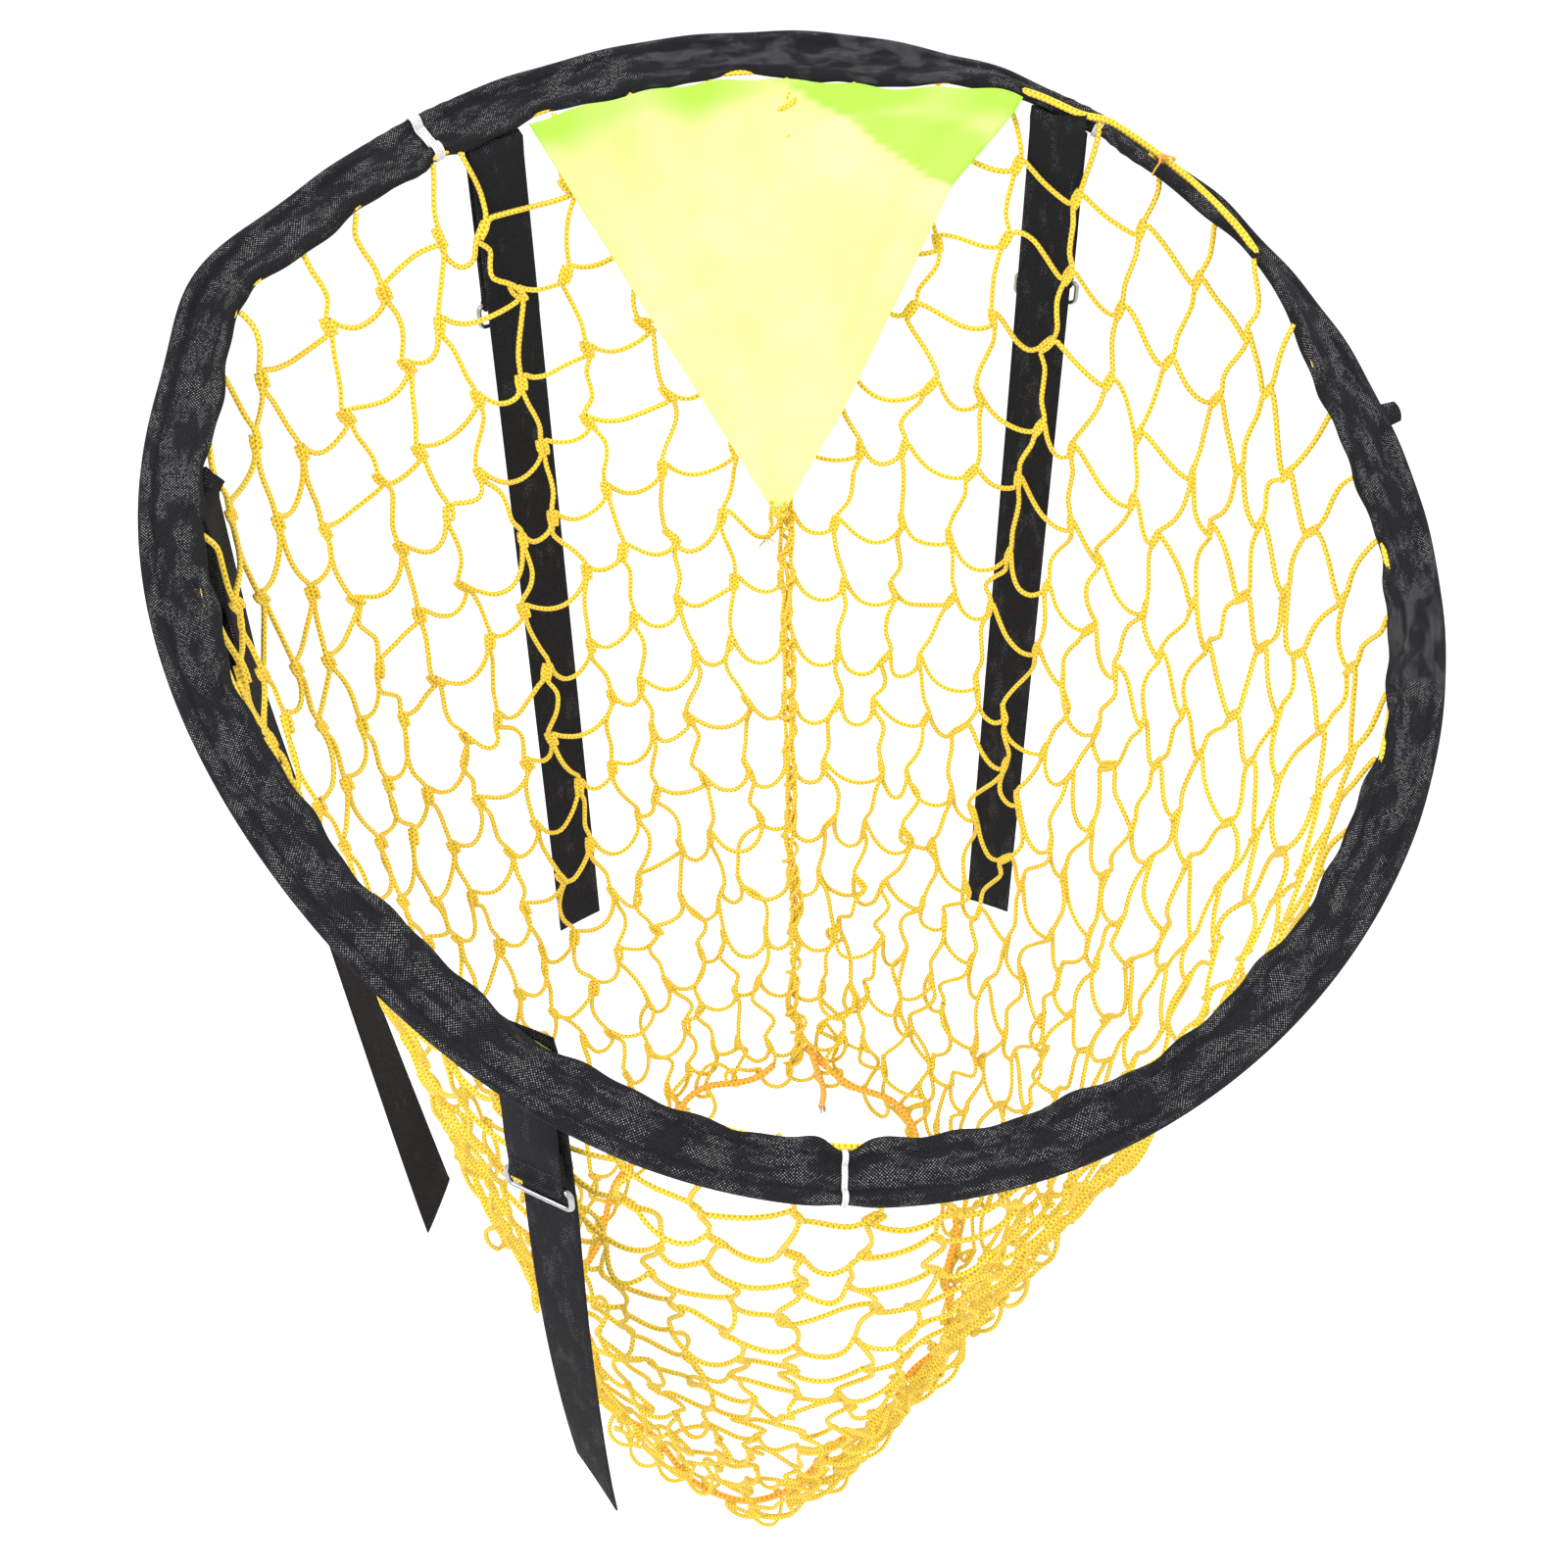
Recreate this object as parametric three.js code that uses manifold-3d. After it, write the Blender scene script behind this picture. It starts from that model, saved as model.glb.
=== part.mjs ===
// Top-corner target net for football: a sprung wire hoop in a woven sleeve, a yellow catch net
// that hangs from it as an open tapering tube, a pennant, and four webbing straps that tie the hoop to
// a goal's crossbar and post. Millimetres, +Z up. The origin is the middle of the wire hoop.
// The hoop is shown as it hangs: back edge high, left edge a little higher than the right.

import * as THREE from 'three';
import * as BufferGeometryUtils from 'three/addons/utils/BufferGeometryUtils.js';
import Module from 'manifold-3d';

const wasm = await Module();
wasm.setup();

const DEG = THREE.MathUtils.DEG2RAD;
const UP = new THREE.Vector3(0, 0, 1);

// Driving dimensions.
const HOOP_RADIUS = 302;             // centre line of the spring wire, flat on the bench
const HOOP_TILT = 25.8;              // back edge raised, degrees
const HOOP_ROLL = 8.5;               // left edge raised, degrees
const WIRE_RADIUS = 1.5;
const GAP = 0.3;                     // what touching pieces keep between them
const STATION = 5;                   // degrees between the hoop's sections

// How far the sprung hoop is from a true circle: lobes round it, height of each, where its crest is.
const HOOP_WAVES = [
  { lobes: 2, height: 3.5, crest: -38 },
  { lobes: 3, height: 5, crest: 50 },
  { lobes: 4, height: 3, crest: -7 },
];
const HOOP_BEND = { at: 161, height: 10, spread: 7 };   // the tighter bend on the left

// Sleeve: a folded strip sewn into a wide channel for the wire and a narrow hem for the head cord.
const WIRE_CHANNEL = 3.3;            // radius
const HEM_CHANNEL = 2.9;             // radius
const HEM_INSET = 21;                // hem centre, inwards from the wire
const SLEEVE_SKIN = 0.7;             // cloth thickness round the channels
const SLEEVE_MIDDLE = 1.5;           // half the thickness between the channels
const SLEEVE_ENDS = { topRight: 63, topLeft: 136, bottom: 274.5 };   // where the ties sit
const TIE_WIDTH = { topRight: 4, topLeft: 5, bottom: 2 };
const TIE_NAMES = { topRight: 'tie_top_right', topLeft: 'tie_top_left', bottom: 'tie_bottom' };
const TIE_GROW = 0.4;                // how far a tie stands proud of the sleeve
const LIFT = { angle: 38, from: 24, full: 38, fullEnd: 72, to: 88 };   // the rolled stretch

const HEAD_CORD_RADIUS = 2;
const FERRULE = { at: 22.5, length: 26, radius: 2.6, bore: 2 };

// Net bag: an open tube that hangs from inside the hem. Its bottom edge is drawn in on a rope
// that slopes down towards the front, where the edge is pinched to a point.
const BAG_RIM = 271;                 // radius of the bag's wall at the hoop
const BAG_WALL = 3;                  // the net with its knots
const BAG_FULLNESS = 1.1;            // 1 would be straight-sided
const BAG_STEPS = { round: 44, down: 12 };
const SEAM_ANGLE = 97;               // the laced seam, down the centre of the back
const OUTLET = { middle: new THREE.Vector3(-14, -3, -610), halfWidth: 126, halfLength: 98 };
const OUTLET_SLOPE = 1.2;            // mm down for each mm towards the front
const OUTLET_PINCH = { power: 1.1, aside: -38 };   // how sharp the front point is, how far left
const OUTLET_TURN = 5;               // degrees between the outlet's axis and the hoop's
const ROPE_RADIUS = 2.4;
const SEAM_RADIUS = 2;

const PENNANT = { from: 126, to: 71.5, radius: 266, thickness: 1, tipWidth: 6 };
const PENNANT_TIP = new THREE.Vector3(-21, 184, -108);
const PENNANT_TIE = { radius: 1.1, length: 8, below: 4.5 };

// Straps: 30 mm webbing, sewn under the sleeve, with a long leg inside and a tab beside it.
const WEB_WIDTH = 30;
const WEB = 1.6;                     // webbing thickness
const SADDLE_SLACK = 0.9;            // between the strap and the sleeve it is sewn under
const SADDLE_RISE = 2;               // how far up the sleeve's two edges the strap reaches
const SADDLE_REACH = HEM_CHANNEL + SLEEVE_SKIN + SADDLE_SLACK + WEB;   // from the hem's centre
const PRESSED = { length: 14, depth: 0.3 };
const FIXED_DROP = 125;              // length of the long leg that stays against the hoop
const TAB = { width: 29, length: 84, out: 1.5, below: 8 };   // its top, from the hem's centre
const BUCKLE = { width: 34.5, height: 12, corner: 3, wire: 1.4, play: 0.5 };   // to wire centres
const STRAPS = [
  { name: 'top_left', at: 130, leg: 440, sway: 0, curl: 0, slant: 6 },
  { name: 'top_right', at: 67.2, leg: 460, sway: 0, curl: 0, slant: -6 },
  { name: 'left', at: 182.5, leg: 420, sway: -32, curl: 5, slant: 22 },
  { name: 'lower_left', at: 244.8, leg: 262, sway: 12, curl: 18, slant: 26 },
];

// Materials.
const finish = (color, roughness, metalness = 0) =>
  new THREE.MeshStandardMaterial({ color, roughness, metalness });
const webbingBlack = finish(0x17171a, 0.85);
const sleeveBlack = finish(0x1b1b1e, 0.9);
const cordYellow = finish(0xf2d23a, 0.8);
const ropeOrange = finish(0xf0a42c, 0.85);
const limeCloth = finish(0xd9ff6a, 0.75);
const tieWhite = finish(0xf4f4f0, 0.6);
const springSteel = finish(0x5a5d60, 0.4, 1);
const plainSteel = finish(0xc9cbcd, 0.25, 1);

const part = new THREE.Group();
const hoop = new THREE.Group();
hoop.rotation.set(HOOP_TILT * DEG, HOOP_ROLL * DEG, 0, 'YXZ');
hoop.updateMatrixWorld(true);
part.add(hoop);

function add(parent, name, geometry, material) {
  const mesh = new THREE.Mesh(geometry, material);
  mesh.name = name;
  parent.add(mesh);
  return mesh;
}

// ---------------------------------------------------------------- the hoop's own frame

function hoopRadius(degrees) {
  const wave = (w) => w.height * Math.cos(w.lobes * (degrees - w.crest) * DEG);
  const fromCrest = THREE.MathUtils.euclideanModulo(degrees - HOOP_BEND.at + 180, 360) - 180;
  const fromBend = fromCrest / HOOP_BEND.spread;
  const bend = HOOP_BEND.height * Math.exp(-fromBend * fromBend);
  return HOOP_WAVES.reduce((sum, w) => sum + wave(w), HOOP_RADIUS) + bend;
}

function flatPoint(degrees, inset = 0) {
  const r = hoopRadius(degrees) - inset;
  return new THREE.Vector3(r * Math.cos(degrees * DEG), r * Math.sin(degrees * DEG), 0);
}

// The sleeve's hem is rolled upwards over part of the hoop, by this angle.
function liftAt(degrees) {
  const angle = THREE.MathUtils.euclideanModulo(degrees, 360);
  const rise = THREE.MathUtils.smoothstep(angle, LIFT.from, LIFT.full);
  const fall = THREE.MathUtils.smoothstep(angle, LIFT.fullEnd, LIFT.to);
  return LIFT.angle * rise * (1 - fall) * DEG;
}

// Point at an angle round the hoop, `out` along the radius and `rise` above the hoop's plane.
function hoopPoint(degrees, out, rise) {
  const ahead = flatPoint(degrees + 0.5).sub(flatPoint(degrees - 0.5)).normalize();
  const outward = new THREE.Vector3(ahead.y, -ahead.x, 0);
  const lift = liftAt(degrees);
  const across = out * Math.cos(lift) + rise * Math.sin(lift);
  const above = rise * Math.cos(lift) - out * Math.sin(lift);
  return flatPoint(degrees).addScaledVector(outward, across).add(new THREE.Vector3(0, 0, above));
}

function remap(geometry, place) {
  const position = geometry.attributes.position;
  const point = new THREE.Vector3();
  for (let i = 0; i < position.count; i += 1) {
    point.fromBufferAttribute(position, i);
    const moved = place(point);
    position.setXYZ(i, moved.x, moved.y, moved.z);
  }
  geometry.computeVertexNormals();
  return geometry;
}

// A section swept round the hoop, from one angle to a larger one. Every piece has its stations
// at the same angles, so that nested pieces keep their clearance.
function sweepRoundHoop(section, from, to, curveSegments = 3) {
  const stations = [to];
  for (let d = Math.ceil(to / STATION - 1) * STATION; d > from + 1; d -= STATION) {
    if (d < to - 1) stations.push(d);
  }
  stations.push(from);
  const steps = stations.length - 1;
  const settings = { depth: 1, steps, bevelEnabled: false, curveSegments };
  const bar = new THREE.ExtrudeGeometry(section, settings);
  return remap(bar, (p) => hoopPoint(stations[Math.round(p.z * steps)], p.x, p.y));
}

// A closed ring of cord that runs all the way round the hoop.
function cordRoundHoop(radius, inset, sides) {
  const ring = new THREE.TorusGeometry(HOOP_RADIUS, radius, sides, 360 / STATION);
  return remap(ring, (p) => {
    const degrees = Math.atan2(p.y, p.x) / DEG;
    return hoopPoint(degrees, Math.hypot(p.x, p.y) - HOOP_RADIUS - inset, p.z);
  });
}

const degreesAlong = (length) => length / (HOOP_RADIUS * DEG);
const toWorld = (point) => point.applyMatrix4(hoop.matrixWorld);

// A point in the hoop's plane whose distance from the middle follows the hoop's outline.
function scaledPoint(degrees, radius) {
  const r = radius * hoopRadius(degrees) / HOOP_RADIUS;
  return toWorld(new THREE.Vector3(r * Math.cos(degrees * DEG), r * Math.sin(degrees * DEG), 0));
}

// ---------------------------------------------------------------- closed solids, cut and joined

function toSolid(geometry) {
  const bare = geometry.clone();
  bare.deleteAttribute('normal');
  bare.deleteAttribute('uv');
  const merged = BufferGeometryUtils.mergeVertices(bare, 1e-4);
  const mesh = new wasm.Mesh({
    numProp: 3,
    vertProperties: Float32Array.from(merged.attributes.position.array),
    triVerts: Uint32Array.from(merged.index.array),
  });
  return new wasm.Manifold(mesh);
}

function toGeometry(solid) {
  const mesh = solid.getMesh();
  const geometry = new THREE.BufferGeometry();
  const corners = Float32Array.from(mesh.vertProperties);
  geometry.setAttribute('position', new THREE.BufferAttribute(corners, 3));
  geometry.setIndex(new THREE.BufferAttribute(Uint32Array.from(mesh.triVerts), 1));
  geometry.computeVertexNormals();
  return geometry;
}

// ---------------------------------------------------------------- sleeve, ties, wire

function roundHole(x, radius) {
  return new THREE.Path().absarc(x, 0, radius, 0, 2 * Math.PI, true);
}

// Two rounded channels joined by a flat web, larger all round by `grow`.
function sleeveOutline(grow = 0) {
  const nose = WIRE_CHANNEL + SLEEVE_SKIN + grow;
  const hem = HEM_CHANNEL + SLEEVE_SKIN + grow;
  const half = SLEEVE_MIDDLE + grow;
  const noseAngle = Math.PI - Math.asin(half / nose);
  const hemAngle = Math.asin(half / hem);
  const outline = new THREE.Shape();
  outline.absarc(0, 0, nose, -noseAngle, noseAngle, false);
  outline.absarc(-HEM_INSET, 0, hem, hemAngle, 2 * Math.PI - hemAngle, false);
  outline.closePath();
  return outline;
}

function sleeveSection(grow = 0) {
  const section = sleeveOutline(grow);
  section.holes.push(roundHole(0, WIRE_CHANNEL), roundHole(-HEM_INSET, HEM_CHANNEL));
  return section;
}

function addSleeve(name, from, to) {
  add(hoop, name, sweepRoundHoop(sleeveSection(), from, to), sleeveBlack);
}

function addSleevesAndTies() {
  const { topRight, topLeft, bottom } = SLEEVE_ENDS;
  const clear = (tie) => degreesAlong(TIE_WIDTH[tie] / 2 + GAP);
  addSleeve('sleeve_top', topRight + clear('topRight'), topLeft - clear('topLeft'));
  addSleeve('sleeve_left', topLeft + clear('topLeft'), bottom - clear('bottom'));
  addSleeve('sleeve_right', bottom + clear('bottom'), topRight + 360 - clear('topRight'));
  for (const [key, at] of Object.entries(SLEEVE_ENDS)) {
    const reach = degreesAlong(TIE_WIDTH[key] / 2);
    const band = sweepRoundHoop(sleeveSection(TIE_GROW), at - reach, at + reach);
    add(hoop, TIE_NAMES[key], band, tieWhite);
  }
}

function addWire() {
  const section = new THREE.Shape().absarc(0, 0, WIRE_RADIUS, 0, 2 * Math.PI, false);
  const start = FERRULE.at + degreesAlong(0.5);
  add(hoop, 'hoop_wire', sweepRoundHoop(section, start, start + 360 - degreesAlong(1)), springSteel);
  const sleeve = new THREE.Shape().absarc(0, 0, FERRULE.radius, 0, 2 * Math.PI, false);
  sleeve.holes.push(roundHole(0, FERRULE.bore));
  const reach = degreesAlong(FERRULE.length / 2);
  add(hoop, 'hoop_ferrule', sweepRoundHoop(sleeve, FERRULE.at - reach, FERRULE.at + reach), plainSteel);
}

function addHeadCord() {
  add(hoop, 'head_cord', cordRoundHoop(HEAD_CORD_RADIUS, HEM_INSET, 6), cordYellow);
}

// ---------------------------------------------------------------- net bag and its cords

// The bag's bottom edge: round at the back, narrowing to a point at the front.
function outletPoint(angle) {
  const across = Math.cos((angle - OUTLET_TURN) * DEG);
  const back = Math.sin((angle - OUTLET_TURN) * DEG);
  const front = (1 - back) / 2;
  const x = OUTLET.halfWidth * across * Math.abs(across) ** (OUTLET_PINCH.power * front);
  const y = OUTLET.halfLength * back;
  return new THREE.Vector3(x + OUTLET_PINCH.aside * front, y, OUTLET_SLOPE * y).add(OUTLET.middle);
}

// A point of the bag's wall: `angle` round the hoop, `depth` 0 at the rim and 1 at the outlet.
function bagPoint(angle, depth) {
  const rim = scaledPoint(angle, BAG_RIM);
  const low = outletPoint(angle);
  const point = rim.clone().lerp(low, depth ** BAG_FULLNESS);
  point.z = THREE.MathUtils.lerp(rim.z, low.z, depth);
  return point;
}

// Directions at a point of the wall: down it, and square to it outwards.
function bagDirections(angle, depth) {
  const step = 0.02;
  const up = Math.max(depth - step, 0);
  const down = bagPoint(angle, up + step).sub(bagPoint(angle, up)).normalize();
  const round = bagPoint(angle + 1, depth).sub(bagPoint(angle - 1, depth)).normalize();
  return { down, outward: down.clone().cross(round).normalize() };
}

// A point beside the wall, `out` mm outside its middle and `below` mm further down it.
function besideBag(angle, depth, out, below = 0) {
  const { down, outward } = bagDirections(angle, depth);
  return bagPoint(angle, depth).addScaledVector(outward, out).addScaledVector(down, below);
}

// The wall as a closed band: down its outside, round the bottom edge and up its inside.
function bagGeometry() {
  const depths = Array.from({ length: BAG_STEPS.down + 1 }, (_, i) => i / BAG_STEPS.down);
  const [inner, outer] = [1, 2];
  const profile = depths.map((depth) => new THREE.Vector2(inner, -depth));
  profile.push(...depths.map((depth) => new THREE.Vector2(outer, -depth)).reverse(), profile[0]);
  const lathe = new THREE.LatheGeometry(profile, BAG_STEPS.round);
  lathe.rotateX(Math.PI / 2);
  return remap(lathe, (p) => {
    const out = Math.hypot(p.x, p.y) - (inner + outer) / 2;
    return besideBag(Math.atan2(p.y, p.x) / DEG, THREE.MathUtils.clamp(-p.z, 0, 1), out * BAG_WALL);
  });
}

// The rope that gathers the bottom edge, a closed ring just under it.
function ropeGeometry() {
  const unit = 100;
  const ring = new THREE.TorusGeometry(unit, ROPE_RADIUS, 6, 2 * BAG_STEPS.round);
  const under = ROPE_RADIUS + 3 * GAP;
  return remap(ring, (p) => {
    const out = Math.hypot(p.x, p.y) - unit;
    return besideBag(Math.atan2(p.y, p.x) / DEG, 1, out, under - p.z);
  });
}

// The lacing of the net's back seam, inside the wall from the pennant's tip to the outlet.
function seamGeometry() {
  const inside = -(BAG_WALL / 2 + SEAM_RADIUS + 3 * GAP);
  const from = 0.34;
  const to = 0.985;
  const steps = 8;
  const points = Array.from({ length: steps + 1 }, (_, i) =>
    besideBag(SEAM_ANGLE, from + (to - from) * i / steps, inside));
  const section = new THREE.Shape().absarc(0, 0, SEAM_RADIUS, 0, 2 * Math.PI, false);
  const extrudePath = new THREE.CatmullRomCurve3(points);
  return new THREE.ExtrudeGeometry(section, { steps: 3 * steps, extrudePath, curveSegments: 3 });
}

function addBag() {
  add(part, 'net_bag', bagGeometry(), cordYellow);
  add(part, 'outlet_rope', ropeGeometry(), ropeOrange);
  add(part, 'seam_cord', seamGeometry(), cordYellow);
}

// ---------------------------------------------------------------- pennant

function addPennant() {
  const sheet = new THREE.BoxGeometry(1, 1, 1, 16, 8, 1);
  remap(sheet, (p) => {
    const along = p.x + 0.5;
    const down = 0.5 - p.y;
    const angle = PENNANT.from + (PENNANT.to - PENNANT.from) * along;
    const inwards = p.z * PENNANT.thickness;
    const tip = new THREE.Vector3(p.x * PENNANT.tipWidth, -inwards, 0).add(PENNANT_TIP);
    return scaledPoint(angle, PENNANT.radius - inwards).lerp(tip, down);
  });
  add(part, 'pennant', sheet, limeCloth);

  const { radius, length, below } = PENNANT_TIE;
  const string = new THREE.CylinderGeometry(radius, radius, length, 8);
  string.rotateX(Math.PI / 2);
  const tie = add(part, 'pennant_tie', string, cordYellow);
  tie.position.copy(PENNANT_TIP).addScaledVector(UP, -below);
}

// ---------------------------------------------------------------- straps

// Where a strap sits: the wire and the hem at its angle, and the level directions there.
function strapPlace(at) {
  const wire = toWorld(hoopPoint(at, 0, 0));
  const hem = toWorld(hoopPoint(at, -HEM_INSET, 0));
  const run = toWorld(flatPoint(at + 0.5)).sub(toWorld(flatPoint(at - 0.5))).normalize();
  const outward = new THREE.Vector3(run.y, -run.x, 0).normalize();
  return { wire, hem, run, outward, turn: Math.atan2(outward.y, outward.x) - Math.PI / 2 };
}

// The webbing sewn under the sleeve, from its outer edge to its hem, joined to the part of the
// long leg that stays put. The leg is pressed thinner where it is sewn.
function strapSaddle(place) {
  const section = sleeveOutline(SADDLE_SLACK + WEB);
  section.holes.push(new THREE.Path(sleeveOutline(SADDLE_SLACK).getPoints(6).reverse()));
  const settings = { depth: WEB_WIDTH, bevelEnabled: false, curveSegments: 6 };
  const ring = new THREE.ExtrudeGeometry(section, settings);
  ring.translate(0, 0, -WEB_WIDTH / 2);
  const above = new THREE.BoxGeometry(3 * HEM_INSET, HEM_INSET, 2 * WEB_WIDTH);
  above.translate(0, SADDLE_RISE + HEM_INSET / 2, 0);
  const outward = place.wire.clone().sub(place.hem).normalize();
  const back = place.run.clone().negate();
  const basis = new THREE.Matrix4().makeBasis(outward, back.clone().cross(outward), back);
  ring.applyMatrix4(basis.setPosition(place.wire));
  above.applyMatrix4(basis);

  const plate = (from, to, thickness) => {
    const box = new THREE.BoxGeometry(WEB_WIDTH, thickness, to - from);
    box.translate(0, thickness / 2 - SADDLE_REACH, (from + to) / 2);
    box.rotateZ(place.turn);
    return toSolid(box.translate(place.hem.x, place.hem.y, place.hem.z));
  };
  const sewn = plate(-PRESSED.length, SADDLE_RISE, WEB - PRESSED.depth);
  const drop = plate(-FIXED_DROP, -PRESSED.length, WEB);
  return toGeometry(toSolid(ring).subtract(toSolid(above)).add(sewn).add(drop));
}

// The long leg as a ribbon: straight down, or swaying outwards by `sway` and curling inwards by
// `curl` on its way to the tip, and cut off at a slant across its width.
function legGeometry({ leg: length, sway, curl, slant }) {
  const steps = sway ? 10 : 1;
  const middle = (s) => sway * s - curl * s * s;
  const side = (s, half) => new THREE.Vector2(middle(s) + half, -length * s);
  const stations = Array.from({ length: steps + 1 }, (_, i) => i / steps);
  const outline = new THREE.Shape();
  outline.absarc(0, 0, WEB / 2, Math.PI, 0, true);
  stations.slice(1).forEach((s) => outline.lineTo(side(s, WEB / 2).x, side(s, 0).y));
  stations.slice(1).reverse().forEach((s) => outline.lineTo(side(s, -WEB / 2).x, side(s, 0).y));
  outline.closePath();
  const atTip = (p) => p.z < -length * (steps - 0.5) / steps;
  return remap(ribbonAcross(outline, WEB_WIDTH), (p) => {
    if (atTip(p)) p.z -= slant * (p.x / WEB_WIDTH - Math.sign(slant) / 2);
    return p;
  });
}

// A ribbon from its side view (x outwards, y up), in the strap's frame: x across, y out, z up.
function ribbonAcross(outline, width) {
  const settings = { depth: width, bevelEnabled: false, curveSegments: 5 };
  const ribbon = new THREE.ExtrudeGeometry(outline, settings).translate(0, 0, -width / 2);
  return ribbon.applyMatrix4(new THREE.Matrix4().set(
    0, 0, 1, 0,
    1, 0, 0, 0,
    0, 1, 0, 0,
    0, 0, 0, 1,
  ));
}

// The tab: a flat ribbon that ends in a sewn eye round the buckle's top bar.
function tabGeometry() {
  const hole = BUCKLE.wire + BUCKLE.play;
  const eye = hole + WEB;
  const meet = Math.asin(WEB / 2 / eye);
  const outline = new THREE.Shape();
  outline.absarc(0, 0, WEB / 2, Math.PI, 0, true);
  outline.absarc(0, -TAB.length, eye, Math.PI / 2 - meet, -1.5 * Math.PI + meet, true);
  outline.closePath();
  outline.holes.push(new THREE.Path().absarc(0, -TAB.length, hole, 0, 2 * Math.PI, false));
  return ribbonAcross(outline, TAB.width);
}

// The buckle: a rectangle of round wire that hangs from its top bar.
function buckleGeometry() {
  const { width, height, corner, wire } = BUCKLE;
  const x = width / 2 - corner;
  const low = -height + corner;
  const frame = new THREE.Path();
  frame.moveTo(x, 0);
  frame.absarc(-x, -corner, corner, Math.PI / 2, Math.PI, false);
  frame.absarc(-x, low, corner, Math.PI, 1.5 * Math.PI, false);
  frame.absarc(x, low, corner, -Math.PI / 2, 0, false);
  frame.absarc(x, -corner, corner, 0, Math.PI / 2, false);
  const unit = 10;
  const ring = new THREE.TorusGeometry(unit, wire, 6, 44);
  return remap(ring, (p) => {
    const u = THREE.MathUtils.euclideanModulo(Math.atan2(p.y, p.x) / (2 * Math.PI), 1);
    const at = frame.getPointAt(u);
    const along = frame.getTangentAt(u);
    const out = Math.hypot(p.x, p.y) - unit;
    return new THREE.Vector3(at.x + along.y * out, -p.z, at.y - along.x * out);
  });
}

function addStrap(strap) {
  const { name } = strap;
  const place = strapPlace(strap.at);
  add(part, `strap_${name}_saddle`, strapSaddle(place), webbingBlack);

  const inside = place.hem.clone().addScaledVector(place.outward, WEB / 2 - SADDLE_REACH);
  const long = add(part, `strap_${name}_leg`, legGeometry(strap), webbingBlack);
  long.position.copy(inside).addScaledVector(UP, -(FIXED_DROP + WEB / 2 + GAP));
  long.rotation.z = place.turn;

  const slope = Math.abs(place.run.z) / Math.hypot(place.run.x, place.run.y);
  const below = TAB.below + slope * TAB.width / 2;
  const tab = add(part, `strap_${name}_tab`, tabGeometry(), webbingBlack);
  tab.position.copy(place.hem).addScaledVector(place.outward, TAB.out).addScaledVector(UP, -below);
  tab.rotation.z = place.turn;

  const buckle = add(part, `strap_${name}_buckle`, buckleGeometry(), plainSteel);
  buckle.position.copy(tab.position).addScaledVector(UP, -TAB.length);
  buckle.rotation.z = place.turn;
}

addWire();
addSleevesAndTies();
addHeadCord();
addBag();
addPennant();
STRAPS.forEach(addStrap);

export default part;
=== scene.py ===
"""Looks for the top-corner target net: hoop in its sleeve, knotless net, drawstring, pennant and straps."""
import math

import bpy
import numpy as np
from mathutils import Matrix, Vector


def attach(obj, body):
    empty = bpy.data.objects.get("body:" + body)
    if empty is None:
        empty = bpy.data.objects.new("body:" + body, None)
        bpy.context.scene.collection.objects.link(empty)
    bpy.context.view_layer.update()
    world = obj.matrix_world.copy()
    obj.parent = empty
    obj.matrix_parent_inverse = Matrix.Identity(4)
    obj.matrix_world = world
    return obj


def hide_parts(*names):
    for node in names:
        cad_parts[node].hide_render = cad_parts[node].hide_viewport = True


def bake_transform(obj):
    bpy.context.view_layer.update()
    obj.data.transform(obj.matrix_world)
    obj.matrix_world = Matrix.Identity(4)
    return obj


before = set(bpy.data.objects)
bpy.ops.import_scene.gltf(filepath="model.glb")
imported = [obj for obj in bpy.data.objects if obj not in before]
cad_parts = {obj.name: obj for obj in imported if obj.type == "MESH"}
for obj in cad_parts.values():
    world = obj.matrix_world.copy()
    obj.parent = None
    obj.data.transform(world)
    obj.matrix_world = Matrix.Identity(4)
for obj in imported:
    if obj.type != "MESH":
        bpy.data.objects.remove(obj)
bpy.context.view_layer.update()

DEG = math.pi / 180
MM = 0.001
UP = np.array([0.0, 0.0, 1.0])

# -------- dimensions, in mm, as in the CAD
HOOP_RADIUS, HOOP_TILT, HOOP_ROLL = 302.0, 25.8, 8.5
HOOP_WAVES = ((2, 3.5, -38), (3, 5.0, 50), (4, 3.0, -7))
HOOP_BEND = (161, 10.0, 7.0)
HEM_INSET = 21.0
NOSE, HEM, MIDDLE = 4.0, 3.6, 1.5
SLEEVE_ENDS = {"topRight": 63.0, "topLeft": 136.0, "bottom": 274.5}
NUB_ANGLE, THREAD_KNOT_ANGLE = 21.2, 55.3
TIE_WIDTH = {"topRight": 4.0, "topLeft": 5.0, "bottom": 2.0}
LIFT = (38.0, 24, 38, 72, 88)
BAG_RIM, BAG_FULLNESS, SEAM_ANGLE = 271.0, 1.1, 97.0
OUTLET = {"middle": np.array([-14.0, -3.0, -610.0]), "halfWidth": 126.0, "halfLength": 98.0}
OUTLET_SLOPE, OUTLET_PINCH, OUTLET_ASIDE, OUTLET_TURN = 1.2, 1.1, -38.0, 5.0
CORD_RADIUS, ROPE_RADIUS, STRAND_RADIUS = 1.45, 2.3, 1.25
PENNANT = {"from": 126.0, "to": 71.5, "inset": 25.6, "thick": 0.25}
PENNANT_TIP = np.array([-21.0, 184.0, -108.0])
NOSE_CORE, HEM_CORE, CLOTH = 3.3, 2.9, 0.7      # what the sleeve is wrapped round, and its cloth
WEB_WIDTH, WEB = 30.0, 1.6
SADDLE_SLACK, FIXED_DROP = 0.9, 125.0
TAB_WIDTH, TAB_LENGTH, TAB_OUT, TAB_BELOW = 29.0, 84.0, 1.5, 8.0
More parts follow.
